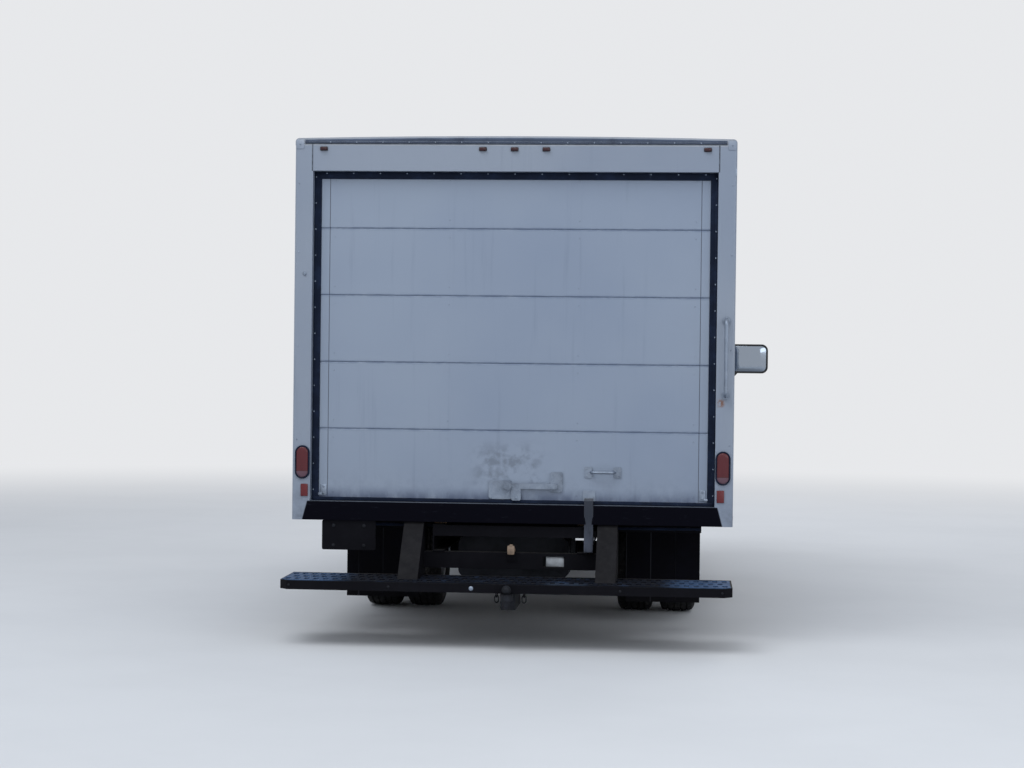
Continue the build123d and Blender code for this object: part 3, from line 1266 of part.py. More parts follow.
def box_between(x0, x1, y0, y1, z0, z1):
    """A plain block between two corners."""
    with BuildPart() as block:
        with BuildSketch(level(z0)):
            with Locations(((x0 + x1) / 2, (y0 + y1) / 2)):
                Rectangle(x1 - x0, y1 - y0)
        extrude(amount=z1 - z0)
    return block.part


FENDER_SKIN = 28.0
FENDER_SPLIT = SIDE_DOOR_FRONT + PANEL_GAP
FENDER_TOP = BELT + 20.0
FENDER_FOOT = CAB_BOTTOM + 205.0
GRILLE_HALF = 520.0
GRILLE_TOP = HOOD_FRONT_HEIGHT - 95.0
GRILLE_BOTTOM = 735.0
LAMP_IN = 545.0
LAMP_OUT = 830.0
LAMP_TOP = GRILLE_TOP - 5.0
LAMP_BOTTOM = 800.0
UNDERSIDE = CAB_FLOOR - CAB_FLOOR_THICKNESS
SKIRT = 60.0
ARCH_INNER = 525.0
DOOR_INSIDE = CAB_HALF - DOOR_SKIN - 15.0
REBATE_SKIN = 19.0
REBATE_WIDTH = 18.0
HINGE_BARREL = 9.0
HINGE_PIN = 5.0
HINGE_LENGTH = 44.0
HINGE_OUT = 12.0
HINGE_LEAF = 58.0
DOOR_HINGE_HEIGHTS = (640.0, BELT - 230.0)
DOOR_HINGE_Y = SIDE_DOOR_FRONT + PANEL_GAP / 2
HOOD_HINGE_X = 590.0
HOOD_HINGE_Y = COWL + HOOD_GAP / 2
HOOD_SLOPE = (COWL_HEIGHT - HOOD_FRONT_HEIGHT) / (GRILLE_FACE - 20.0 - COWL)
HOOD_HINGE_Z = COWL_HEIGHT - HOOD_SLOPE * HOOD_GAP / 2 - HINGE_BARREL
ARCH_LINER = 10.0
FIREWALL_GAUGE = 25.0

cab_outer = cab_form(0)
cab_inner = cab_form(CAB_SKIN)
door_inner = cab_form(DOOR_SKIN)
fender_inner = cab_form(FENDER_SKIN)
cowl_outer = cab_form(FENDER_SKIN + SEAT_GAP)
glass_outer = cab_form(GLASS_INSET)
glass_inner = cab_form(GLASS_INSET + GLASS)


def arch_cylinder(hand, grow):
    """Space of a front wheel arch on one side."""
    with BuildPart() as arch:
        with BuildSketch(side(hand * (ARCH_INNER - grow))):
            with Locations((FRONT_AXLE, TYRE_RADIUS)):
                Circle(ARCH_RADIUS + grow)
        extrude(amount=hand * (CAB_HALF + 40.0 - ARCH_INNER))
    return arch.part


def door_hinge(hand, turning):
    """Hinge halves on a door's front edge: leaf and barrel with a pin below, or a bored barrel above."""
    toward = -1 if turning else 1
    leaf_y = DOOR_HINGE_Y + toward * HINGE_LEAF / 2
    with BuildPart() as hinge:
        for height in DOOR_HINGE_HEIGHTS:
            base = height + 1.0 if turning else height - HINGE_LENGTH
            with BuildSketch(level(base)):
                with Locations((hand * (CAB_HALF - 10.0), leaf_y)):
                    Rectangle(32.0, HINGE_LEAF)
                with Locations((hand * (CAB_HALF + HINGE_OUT), DOOR_HINGE_Y)):
                    Circle(HINGE_BARREL)
                    if turning:
                        Circle(HINGE_PIN + RUNNING_GAP, mode=Mode.SUBTRACT)
            extrude(amount=HINGE_LENGTH)
            if not turning:
                with BuildSketch(level(height - 5.0)):
                    with Locations((hand * (CAB_HALF + HINGE_OUT), DOOR_HINGE_Y)):
                        Circle(HINGE_PIN)
                extrude(amount=HINGE_LENGTH + 6.0)
    return hinge.part


def hood_hinge(turning):
    """Hinge halves along the cowl: a lug with a pin on the cab, a bored lug on the hood."""
    with BuildPart() as hinge:
        for hand in (-1, 1):
            inner = HOOD_HINGE_X + (HINGE_LENGTH + 1.0 if turning else 0.0)
            toward = 1 if turning else -1
            with BuildSketch(side(hand * inner)):
                with Locations((HOOD_HINGE_Y, HOOD_HINGE_Z)):
                    Circle(HINGE_BARREL)
                with Locations((HOOD_HINGE_Y + toward * HOOD_GAP / 3, HOOD_HINGE_Z - HINGE_BARREL / 2)):
                    Rectangle(2 * HOOD_GAP / 3, HINGE_BARREL)
                if turning:
                    with Locations((HOOD_HINGE_Y, HOOD_HINGE_Z)):
                        Circle(HINGE_PIN + RUNNING_GAP, mode=Mode.SUBTRACT)
            extrude(amount=hand * HINGE_LENGTH)
            if not turning:
                with BuildSketch(side(hand * (inner + HINGE_LENGTH - 5.0))):
                    with Locations((HOOD_HINGE_Y, HOOD_HINGE_Z)):
                        Circle(HINGE_PIN)
                extrude(amount=hand * (HINGE_LENGTH + 6.0))
    return hinge.part


# Cab shell: floor, back wall, roof, pillars, wheel houses, firewall and cowl
with BuildPart() as cab_room:
    add(cab_inner)
    add(box_between(-CAB_HALF, CAB_HALF, CAB_BACK, FIREWALL - FIREWALL_GAUGE, CAB_FLOOR, CAB_ROOF),
        mode=Mode.INTERSECT)
    for hand in (-1, 1):
        add(arch_cylinder(hand, ARCH_LINER), mode=Mode.SUBTRACT)

with BuildPart() as cowl_block:
    add(cowl_outer)
    add(box_between(-CAB_HALF, CAB_HALF, FENDER_SPLIT - 5.0, FIREWALL, UNDERSIDE, FENDER_TOP + 5.0),
        mode=Mode.INTERSECT)

with BuildPart() as cab_shell:
    add(cab_outer)
    add(box_between(-CAB_HALF, CAB_HALF, FENDER_SPLIT, NOSE, CAB_BOTTOM - 20.0, FENDER_TOP),
        mode=Mode.SUBTRACT)
    add(box_between(-CAB_HALF, CAB_HALF, COWL, NOSE, BELT, CAB_ROOF), mode=Mode.SUBTRACT)
    add(cowl_block.part)
    add(cab_room.part, mode=Mode.SUBTRACT)
    add(box_between(-CAB_HALF + SKIRT, CAB_HALF - SKIRT, CAB_BACK - 10.0, NOSE, CAB_BOTTOM - 20.0, UNDERSIDE),
        mode=Mode.SUBTRACT)
    add(screen_prism(0), mode=Mode.SUBTRACT)
    for hand in (-1, 1):
        add(arch_cylinder(hand, 0), mode=Mode.SUBTRACT)
        add(door_prism(hand, PANEL_GAP), mode=Mode.SUBTRACT)
    with BuildSketch(level(RAIL_TOP)):
        with Locations((0, CAB_BACK + 450.0)):
            with GridLocations(2 * (HALF_RAIL - RAIL_FLANGE / 2), 640.0, 2, 2):
                Circle(25.0)
    extrude(amount=UNDERSIDE - RAIL_TOP + 1.0)
    add(hood_hinge(False))
cab_shell.part.label = "cab_shell"
export_step(cab_shell.part, "parts/cab_shell.step")

# Windscreen
with BuildPart() as windscreen:
    add(glass_outer)
    add(glass_inner, mode=Mode.SUBTRACT)
    add(screen_prism(1.0), mode=Mode.INTERSECT)
windscreen.part.label = "windscreen"
export_step(windscreen.part, "parts/windscreen.step")

rebate_form = cab_form(REBATE_SKIN)

# Cab doors with their glass, on hinges at the front edge; a step round the inside clears the pillars
for hand, name in ((-1, "left"), (1, "right")):
    with BuildPart() as door_rebate:
        add(rebate_form)
        add(door_prism(hand, -REBATE_WIDTH), mode=Mode.SUBTRACT)
    with BuildPart() as cab_door:
        add(cab_outer)
        add(door_inner, mode=Mode.SUBTRACT)
        add(door_prism(hand, 0), mode=Mode.INTERSECT)
        add(box_between(-DOOR_INSIDE, DOOR_INSIDE, CAB_BACK, COWL, CAB_BOTTOM, CAB_BOTTOM + DOOR_SKIN),
            mode=Mode.SUBTRACT)
        add(side_window_prism(hand, 0), mode=Mode.SUBTRACT)
        add(door_rebate.part, mode=Mode.SUBTRACT)
        add(door_hinge(hand, True))
    cab_door.part.label = f"cab_door_{name}"
    export_step(cab_door.part, f"parts/cab_door_{name}.step")

    with BuildPart() as door_glass:
        add(glass_outer)
        add(glass_inner, mode=Mode.SUBTRACT)
        add(side_window_prism(hand, SEAT_GAP), mode=Mode.INTERSECT)
    door_glass.part.label = f"door_glass_{name}"
    export_step(door_glass.part, f"parts/door_glass_{name}.step")

# Fenders and nose: the skin ahead of the doors, with arch liners and openings for grille and lamps
with BuildPart() as fender_liners:
    for hand in (-1, 1):
        add(arch_cylinder(hand, ARCH_LINER / 2))
    add(cowl_outer, mode=Mode.INTERSECT)
    add(box_between(-CAB_HALF, CAB_HALF, FIREWALL + SEAT_GAP, NOSE, FENDER_FOOT, FENDER_TOP),
        mode=Mode.INTERSECT)

with BuildPart() as front_fenders:
    add(cab_outer)
    add(fender_inner, mode=Mode.SUBTRACT)
    add(fender_liners.part)
    add(box_between(-CAB_HALF, CAB_HALF, CAB_BACK, FENDER_SPLIT + SEAT_GAP, CAB_BOTTOM - 20.0, CAB_ROOF),
        mode=Mode.SUBTRACT)
    add(box_between(-CAB_HALF, CAB_HALF, CAB_BACK, COWL + SEAT_GAP, FENDER_TOP - SEAT_GAP, CAB_ROOF),
        mode=Mode.SUBTRACT)
    add(box_between(-CAB_HALF + SKIRT, CAB_HALF - SKIRT, FENDER_SPLIT, FRONT_AXLE, CAB_BOTTOM, UNDERSIDE),
        mode=Mode.SUBTRACT)
    add(box_between(-CAB_HALF, CAB_HALF, FRONT_AXLE, NOSE, CAB_BOTTOM - 20.0, FENDER_FOOT),
        mode=Mode.SUBTRACT)
    add(hood_prism(PANEL_GAP), mode=Mode.SUBTRACT)
    add(box_between(-HOOD_HALF - PANEL_GAP, HOOD_HALF + PANEL_GAP, COWL, COWL + HOOD_GAP,
                    FENDER_TOP, CAB_ROOF), mode=Mode.SUBTRACT)
    add(box_between(-GRILLE_HALF, GRILLE_HALF, GRILLE_FACE - 200.0, NOSE, GRILLE_BOTTOM, GRILLE_TOP),
        mode=Mode.SUBTRACT)
    for hand in (-1, 1):
        add(arch_cylinder(hand, 0), mode=Mode.SUBTRACT)
        x0, x1 = sorted((hand * LAMP_IN, hand * LAMP_OUT))
        add(box_between(x0, x1, GRILLE_FACE - 300.0, NOSE, LAMP_BOTTOM, LAMP_TOP), mode=Mode.SUBTRACT)
        add(door_hinge(hand, False))
front_fenders.part.label = "front_fenders"
export_step(front_fenders.part, "parts/front_fenders.step")

# Hood
with BuildPart() as hood:
    add(cab_outer)
    add(fender_inner, mode=Mode.SUBTRACT)
    add(hood_prism(0), mode=Mode.INTERSECT)
    add(hood_hinge(True))
hood.part.label = "hood"
export_step(hood.part, "parts/hood.step")

# Headlamps: lenses that carry on the nose's surface, with a deep back
LAMP_DEPTH = 70.0
lamp_outer = cab_form(2.0)
lamp_inner = cab_form(LAMP_DEPTH)

with BuildPart() as headlamps:
    for hand in (-1, 1):
        x0, x1 = sorted((hand * (LAMP_IN + SEAT_GAP), hand * (LAMP_OUT - SEAT_GAP)))
        add(box_between(x0, x1, GRILLE_FACE - 250.0, NOSE, LAMP_BOTTOM + SEAT_GAP, LAMP_TOP - SEAT_GAP))
    add(lamp_outer, mode=Mode.INTERSECT)
    add(lamp_inner, mode=Mode.SUBTRACT)
headlamps.part.label = "headlamps"
export_step(headlamps.part, "parts/headlamps.step")

# Grille: a surround with level bars
GRILLE_BORDER = 26.0
GRILLE_BARS = 6
GRILLE_BAR = 12.0
GRILLE_DEPTH = 34.0
GRILLE_SETBACK = 16.0
GRILLE_HEIGHT = GRILLE_TOP - GRILLE_BOTTOM - 2 * SEAT_GAP

with BuildPart() as grille:
    with BuildSketch(cross(GRILLE_FACE - GRILLE_SETBACK - GRILLE_DEPTH)):
        with Locations((0, (GRILLE_TOP + GRILLE_BOTTOM) / 2)):
            Rectangle(2 * (GRILLE_HALF - SEAT_GAP), GRILLE_HEIGHT)
            RectangleRounded(2 * (GRILLE_HALF - GRILLE_BORDER), GRILLE_HEIGHT - 2 * GRILLE_BORDER, 20.0,
                             mode=Mode.SUBTRACT)
            with GridLocations(0, (GRILLE_HEIGHT - 2 * GRILLE_BORDER) / (GRILLE_BARS + 1), 1, GRILLE_BARS):
                Rectangle(2 * (GRILLE_HALF - GRILLE_BORDER / 2), GRILLE_BAR)
    extrude(amount=-GRILLE_DEPTH)
grille.part.label = "grille"
export_step(grille.part, "parts/grille.step")

# Radiator standing on the rails behind the grille
RADIATOR_HALF = HALF_RAIL
RADIATOR_DEPTH = 50.0
RADIATOR_FACE = GRILLE_FACE - 95.0

with BuildPart() as radiator:
    with BuildSketch(cross(RADIATOR_FACE - RADIATOR_DEPTH)):
        with Locations((0, (RAIL_TOP + GRILLE_TOP) / 2)):
            Rectangle(2 * RADIATOR_HALF, GRILLE_TOP - RAIL_TOP)
    extrude(amount=-RADIATOR_DEPTH)
    with BuildSketch(cross(RADIATOR_FACE - 12.0)):
        with Locations((0, (RAIL_TOP + GRILLE_TOP) / 2)):
            Rectangle(2 * RADIATOR_HALF - 90.0, GRILLE_TOP - RAIL_TOP - 70.0)
    extrude(amount=-12.0, mode=Mode.SUBTRACT)
radiator.part.label = "radiator"
export_step(radiator.part, "parts/radiator.step")

# Front bumper: a pressed channel wrapped round the rails' ends
BUMPER_TOP = FENDER_FOOT - PANEL_GAP
BUMPER_BOTTOM = BUMPER_TOP - 215.0
BUMPER_HALF = 965.0
BUMPER_END = FRONT_AXLE + ARCH_RADIUS + 25.0
BUMPER_PLAN = (
    (-BUMPER_HALF, BUMPER_END, 0.0),
    (-BUMPER_HALF, NOSE - 110.0, 70.0),
    (-BUMPER_HALF + 150.0, NOSE, 90.0),
    (BUMPER_HALF - 150.0, NOSE, 90.0),
    (BUMPER_HALF, NOSE - 110.0, 70.0),
    (BUMPER_HALF, BUMPER_END, 0.0),
)

with BuildPart() as front_bumper:
    with BuildSketch(level(BUMPER_BOTTOM)):
        with BuildLine():
            rounded_outline(BUMPER_PLAN, 0)
        make_face()
        with BuildLine():
            rounded_outline(BUMPER_PLAN, 85.0)
        make_face(mode=Mode.SUBTRACT)
        with Locations((0, BUMPER_END)):
            Rectangle(2 * (BUMPER_HALF - 85.0), 172.0, mode=Mode.SUBTRACT)
    extrude(amount=BUMPER_TOP - BUMPER_BOTTOM)
    with BuildSketch(level(BUMPER_BOTTOM + BUMPER_GAUGE)):
        with BuildLine():
            rounded_outline(BUMPER_PLAN, BUMPER_GAUGE)
        make_face()
        with Locations((0, BUMPER_END)):
            Rectangle(2 * BUMPER_HALF, 2 * BUMPER_GAUGE + 10.0, mode=Mode.SUBTRACT)
    extrude(amount=BUMPER_TOP - BUMPER_BOTTOM - 2 * BUMPER_GAUGE, mode=Mode.SUBTRACT)
front_bumper.part.label = "front_bumper"
export_step(front_bumper.part, "parts/front_bumper.step")

# Door mirrors: head, two arms and a foot on the door's skin
MIRROR_WIDTH = 290.0
MIRROR_HEIGHT = 222.0
MIRROR_DEPTH = 95.0
MIRROR_OUT = 1580.0
MIRROR_Z = 1585.0
MIRROR_Y = SIDE_DOOR_FRONT - 70.0
MIRROR_FOOT_Z = BELT - 85.0
MIRROR_ARM = 13.0
MIRROR_RIM = 10.0
MIRROR_RECESS = 6.0

for hand, name in ((-1, "left"), (1, "right")):
    head_x = hand * (MIRROR_OUT - MIRROR_WIDTH / 2)
    with BuildPart() as mirror:
        with BuildSketch(cross(MIRROR_Y - MIRROR_DEPTH / 2)):
            with Locations((head_x, MIRROR_Z)):
                RectangleRounded(MIRROR_WIDTH, MIRROR_HEIGHT, 48.0)
        extrude(amount=-MIRROR_DEPTH, taper=14)
        with BuildSketch(cross(MIRROR_Y - MIRROR_DEPTH / 2)):
            with Locations((head_x, MIRROR_Z)):
                RectangleRounded(MIRROR_WIDTH - 2 * MIRROR_RIM, MIRROR_HEIGHT - 2 * MIRROR_RIM, 40.0)
        extrude(amount=-MIRROR_RECESS, mode=Mode.SUBTRACT)
        with BuildSketch(side(hand * (CAB_HALF + SEAT_GAP))):
            with Locations((MIRROR_Y, MIRROR_FOOT_Z)):
                RectangleRounded(62.0, 120.0, 14.0)
        extrude(amount=hand * 14.0)
        for foot, reach, height in ((-32.0, 1360.0, -82.0), (32.0, 1305.0, -10.0)):
            with BuildLine() as arm_path:
                FilletPolyline(
                    (hand * (CAB_HALF + 8.0), MIRROR_Y, MIRROR_FOOT_Z + foot),
                    (hand * (CAB_HALF + 60.0), MIRROR_Y, MIRROR_FOOT_Z + foot),
                    (hand * reach, MIRROR_Y, MIRROR_Z + height),
                    radius=45.0,
                )
            with BuildSketch(Plane(origin=arm_path.line @ 0, z_dir=arm_path.line % 0)):
                Circle(MIRROR_ARM)
            sweep()
    mirror.part.label = f"mirror_{name}"
    export_step(mirror.part, f"parts/mirror_{name}.step")

# Seats: pedestal, cushion and back as one soft form each
SEAT_X = 430.0
SEAT_WIDTH = 520.0
SEAT_REAR = CAB_BACK + CAB_SKIN + 95.0
SEAT_TOP = CAB_FLOOR + 330.0

with BuildPart() as cab_seats:
    for hand in (-1, 1):
        with BuildSketch(side(hand * SEAT_X - SEAT_WIDTH / 2)):
            with BuildLine():
                FilletPolyline(
                    (SEAT_REAR + 110.0, CAB_FLOOR + SEAT_GAP),
                    (SEAT_REAR + 110.0, CAB_FLOOR + 170.0),
                    (SEAT_REAR, CAB_FLOOR + 950.0),
                    (SEAT_REAR + 105.0, CAB_FLOOR + 960.0),
                    (SEAT_REAR + 240.0, SEAT_TOP),
                    (SEAT_REAR + 640.0, SEAT_TOP + 25.0),
                    (SEAT_REAR + 650.0, CAB_FLOOR + 180.0),
                    (SEAT_REAR + 560.0, CAB_FLOOR + 160.0),
                    (SEAT_REAR + 560.0, CAB_FLOOR + SEAT_GAP),
                    radius=(0.0, 30.0, 40.0, 40.0, 60.0, 45.0, 40.0, 20.0, 0.0),
                    close=True,
                )
            make_face()
        extrude(amount=SEAT_WIDTH)
cab_seats.part.label = "cab_seats"
export_step(cab_seats.part, "parts/cab_seats.step")

# Dashboard with the steering column, and the steering wheel on its shaft
DASH_HALF = 905.0
DASH_REAR = SIDE_DOOR_FRONT - 40.0
DASH_FRONT = FIREWALL - FIREWALL_GAUGE - SEAT_GAP
DASH_TOP = BELT - 5.0
DASH_BOTTOM = CAB_FLOOR + 290.0
COLUMN_TILT = 35.0
COLUMN_RADIUS = 38.0
WHEEL_X = -SEAT_X
WHEEL_Y = DASH_REAR - 175.0
WHEEL_Z = DASH_TOP - 40.0
WHEEL_RADIUS = 195.0
WHEEL_GRIP = 14.0
SHAFT_PIN = 12.0
SHAFT_PIN_LENGTH = 60.0
WHEEL_CLEAR = 6.0
WHEEL_PLANE = Plane(
    origin=(WHEEL_X, WHEEL_Y, WHEEL_Z),
    x_dir=(1, 0, 0),
    z_dir=(0, -cos(radians(COLUMN_TILT)), sin(radians(COLUMN_TILT))),
)

with BuildPart() as dashboard:
    with BuildSketch(side(-DASH_HALF)):
        with BuildLine():
            FilletPolyline(
                (DASH_FRONT, DASH_BOTTOM),
                (DASH_REAR + 60.0, DASH_BOTTOM),
                (DASH_REAR, DASH_TOP - 90.0),
                (DASH_REAR + 70.0, DASH_TOP),
                (DASH_FRONT, DASH_TOP - 15.0),
                radius=(0.0, 50.0, 45.0, 50.0, 0.0),
                close=True,
            )
        make_face()
    extrude(amount=2 * DASH_HALF)
    with BuildSketch(WHEEL_PLANE.offset(-WHEEL_CLEAR)):
        Circle(COLUMN_RADIUS)
        Circle(SHAFT_PIN + RUNNING_GAP, mode=Mode.SUBTRACT)
    extrude(amount=-260.0)
dashboard.part.label = "dashboard"
export_step(dashboard.part, "parts/dashboard.step")

with BuildPart() as steering_wheel:
    with BuildSketch(Plane(origin=WHEEL_PLANE.origin, x_dir=WHEEL_PLANE.x_dir, z_dir=-WHEEL_PLANE.y_dir)):
        with Locations((WHEEL_RADIUS - WHEEL_GRIP, 22.0)):
            Circle(WHEEL_GRIP)
    revolve(axis=Axis(WHEEL_PLANE.origin, WHEEL_PLANE.z_dir))
    with BuildSketch(WHEEL_PLANE):
        Circle(62.0)
    extrude(amount=30.0)
    with BuildSketch(WHEEL_PLANE.offset(10.0)):
        with PolarLocations((WHEEL_RADIUS - WHEEL_GRIP) / 2, 3, start_angle=90):
            Rectangle(WHEEL_RADIUS - WHEEL_GRIP, 34.0)
    extrude(amount=16.0)
    with BuildSketch(WHEEL_PLANE.offset(1.0)):
        Circle(SHAFT_PIN)
    extrude(amount=-SHAFT_PIN_LENGTH)
steering_wheel.part.label = "steering_wheel"
export_step(steering_wheel.part, "parts/steering_wheel.step")
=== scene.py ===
import json
import math

import bmesh
import bpy
from mathutils import Matrix, Vector
from mathutils.bvhtree import BVHTree

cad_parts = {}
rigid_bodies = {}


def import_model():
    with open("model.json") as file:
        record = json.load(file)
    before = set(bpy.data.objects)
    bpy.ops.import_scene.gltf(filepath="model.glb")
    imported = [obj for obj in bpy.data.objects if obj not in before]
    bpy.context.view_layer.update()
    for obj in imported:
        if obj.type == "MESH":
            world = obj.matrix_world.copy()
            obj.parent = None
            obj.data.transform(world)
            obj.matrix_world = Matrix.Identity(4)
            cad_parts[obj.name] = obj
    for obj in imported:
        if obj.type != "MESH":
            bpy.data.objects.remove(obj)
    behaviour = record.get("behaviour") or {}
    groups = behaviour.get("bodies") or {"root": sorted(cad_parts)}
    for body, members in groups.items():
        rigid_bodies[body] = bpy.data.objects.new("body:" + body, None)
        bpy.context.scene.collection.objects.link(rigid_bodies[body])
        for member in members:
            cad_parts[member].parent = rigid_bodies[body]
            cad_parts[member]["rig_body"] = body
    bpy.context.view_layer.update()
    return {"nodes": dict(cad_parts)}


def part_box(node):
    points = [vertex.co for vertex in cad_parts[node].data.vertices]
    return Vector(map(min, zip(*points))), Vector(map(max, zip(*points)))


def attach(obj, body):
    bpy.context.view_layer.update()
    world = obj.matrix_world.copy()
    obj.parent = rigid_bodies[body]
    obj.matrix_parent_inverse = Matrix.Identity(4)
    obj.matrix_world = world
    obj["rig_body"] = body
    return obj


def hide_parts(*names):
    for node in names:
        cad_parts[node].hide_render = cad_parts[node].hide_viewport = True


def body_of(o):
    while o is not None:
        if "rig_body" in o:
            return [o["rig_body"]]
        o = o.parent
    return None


# A box truck seen from behind. Everything is in metres in the frame of the CAD model:
# X to the truck's right, Y forward, Z up from the ground. Every piece is drawn in place,
# so an object's own texture coordinates are the truck's coordinates.

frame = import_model()
nodes = frame["nodes"]

# Main planes, read from the frame
low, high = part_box("rear_frame")
REAR, SILL_BOTTOM, WALL_TOP, HALF_BODY = low.y, low.z, high.z, high.x
low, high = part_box("door_sections")
DOOR, DECK, OPENING_TOP, DOOR_HALF = low.y, low.z, high.z, high.x
low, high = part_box("step_bumper")
STEP_REAR, STEP_HALF, STEP_TOP = low.y, high.x, 0.357
ROOF_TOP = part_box("box_roof")[1].z
TYRE_HALF_WIDTH = 0.1115
low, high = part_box("front_tyre_right")
FRONT_TRACK, FRONT_AXLE, TYRE_RADIUS = (low.x + high.x) / 2, (low.y + high.y) / 2, (high.z - low.z) / 2
low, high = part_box("rear_tyres_right")
REAR_INNER, REAR_OUTER, REAR_AXLE = low.x + TYRE_HALF_WIDTH, high.x - TYRE_HALF_WIDTH, (low.y + high.y) / 2
HANDS = ((-1, "left"), (1, "right"))
X_AXIS, UP, OUT = Vector((1, 0, 0)), Vector((0, 0, 1)), Vector((0, -1, 0))


# ---------------------------------------------------------------- materials


finishes = {}
EVEN = (1, 1, 1)
# Places of a Mix node's sockets: the two colours, the mixed colour and the two numbers
COLOR_A, COLOR_B, MIXED_COLOR, NUMBER_A, NUMBER_B = 6, 7, 2, 2, 3


def feed(node, inputs):
    """Set a node's inputs, by name or place, from numbers, colours or other nodes' sockets."""
    for key, value in inputs.items():
        if isinstance(value, bpy.types.NodeSocket):
            node.id_data.links.new(value, node.inputs[key])
        else:
            node.inputs[key].default_value = value
    return node


class Finish:
    """A node material whose colour, roughness and bump are laid on in layers."""

    def __init__(self, name, color, roughness, metallic=0.0, soften=0.002, coat=0.0, gloss=0.5):
        self.name = name
        self.material = bpy.data.materials.new(name)
        self.material.use_nodes = True
        self.tree = self.material.node_tree
        self.shader = self.tree.nodes["Principled BSDF"]
        feed(self.shader, {"Metallic": metallic, "Coat Weight": coat, "Specular IOR Level": gloss})
        self.coordinates = self.node("TexCoord").outputs["Object"]
        self.x, self.y, self.z = self.node("SeparateXYZ", {0: self.coordinates}).outputs
        self.color = tuple(color) + (1.0,)
        self.roughness = roughness
        self.normal = self.rounding(soften) if soften else None

    def node(self, kind, inputs=None, operation=None):
        """A new shader node, with the operation and the inputs that it takes."""
        node = self.tree.nodes.new("ShaderNode" + kind)
        if operation:
            node.operation = operation
        return feed(node, inputs or {})

    def math(self, kind, a, b=0.0, c=0.0):
        return self.node("Math", {0: a, 1: b, 2: c}, kind).outputs[0]

    def span(self, value, low, high):
        """0 below low, 1 above high and a smooth rise between them; high may be the lower one."""
        start, end = (1.0, 0.0) if low > high else (0.0, 1.0)
        node = self.node("MapRange", {
            "Value": value, "From Min": min(low, high), "From Max": max(low, high),
            "To Min": start, "To Max": end,
        })
        node.interpolation_type = "SMOOTHSTEP"
        return node.outputs["Result"]

    def noise(self, scale, stretch=EVEN, detail=5.0, rough=0.6):
        """Soft noise between 0 and 1 in the truck's coordinates."""
        return self.node("TexNoise", {
            "Scale": scale, "Detail": detail, "Roughness": rough,
            "Vector": self.node("VectorMath", {0: self.coordinates, 1: stretch}, "MULTIPLY").outputs[0],
        }).outputs[0]

    def blotch(self, scale, low, high, detail=5.0, rough=0.6, stretch=EVEN):
        """Soft patches: noise that rises from 0 at low to 1 at high."""
        return self.span(self.noise(scale, stretch, detail, rough), low, high)

    def speckle(self, scale, low, high):
        """Spots from cell noise: 1 inside a spot."""
        cells = self.node("TexVoronoi", {"Scale": scale, "Vector": self.coordinates})
        return self.span(cells.outputs["Distance"], high, low)

    def wave(self, value, pitch, low=0.2, high=0.6):
        """Lines of a pitch along a value."""
        return self.span(self.math("SINE", self.times(value, 2 * math.pi / pitch)), low, high)

    def line(self, value, at, half, blur=0.002):
        """1 where a value is within half of a place."""
        away = self.math("ABSOLUTE", self.math("SUBTRACT", value, at))
        return self.span(away, half + blur, half)

    def times(self, *factors):
        """The product of numbers and sockets."""
        product = factors[0]
        for factor in factors[1:]:
            product = self.math("MULTIPLY", product, factor)
        return product

    def rounding(self, radius):
        """The surface's normal, rounded at its edges."""
        node = self.node("Bevel", {"Radius": radius})
        node.samples = 4
        return node.outputs["Normal"]

    def edges(self, radius=0.004, low=0.02, high=0.25):
        """1 at worn edges, and at edges with a painted highlight: where a rounded normal leaves the surface's
        own.
        """
        own = self.node("NewGeometry").outputs["Normal"]
        dot = self.node("VectorMath", {0: self.rounding(radius), 1: own}, "DOT_PRODUCT").outputs["Value"]
        return self.span(self.math("SUBTRACT", 1.0, dot), low, high)

    def upward(self, low=0.5, high=0.9):
        """1 on faces that look up, where dust lies."""
        own = self.node("NewGeometry").outputs["Normal"]
        return self.span(self.node("SeparateXYZ", {0: own}).outputs["Z"], low, high)

    def layer(self, factor, color, roughness=None):
        """Lay a colour, and a roughness, over what is there."""
        mix = self.node("Mix")
        mix.data_type = "RGBA"
        feed(mix, {0: factor, COLOR_A: self.color, COLOR_B: tuple(color) + (1.0,)})
        self.color = mix.outputs[MIXED_COLOR]
        if roughness is not None:
            blend = self.node("Mix", {0: factor, NUMBER_A: self.roughness, NUMBER_B: roughness})
            self.roughness = blend.outputs[0]

    def bump(self, height, distance, strength=1.0):
        """Raise the surface by a height between 0 and 1 times a distance."""
        node = self.node("Bump", {"Strength": strength, "Distance": distance, "Height": height})
        if self.normal is not None:
            feed(node, {"Normal": self.normal})
        self.normal = node.outputs["Normal"]

    def made(self):
        """The finished material, which is also listed under its name."""
        feed(self.shader, {"Base Color": self.color, "Roughness": self.roughness})
        if self.normal is not None:
            feed(self.shader, {"Normal": self.normal})
        finishes[self.name] = self.material
        return self.material


BACKGROUND = (0.80, 0.81, 0.83)
GRIME = (0.030, 0.036, 0.050)
DUST = (0.30, 0.29, 0.27)
RUST = (0.16, 0.065, 0.03)


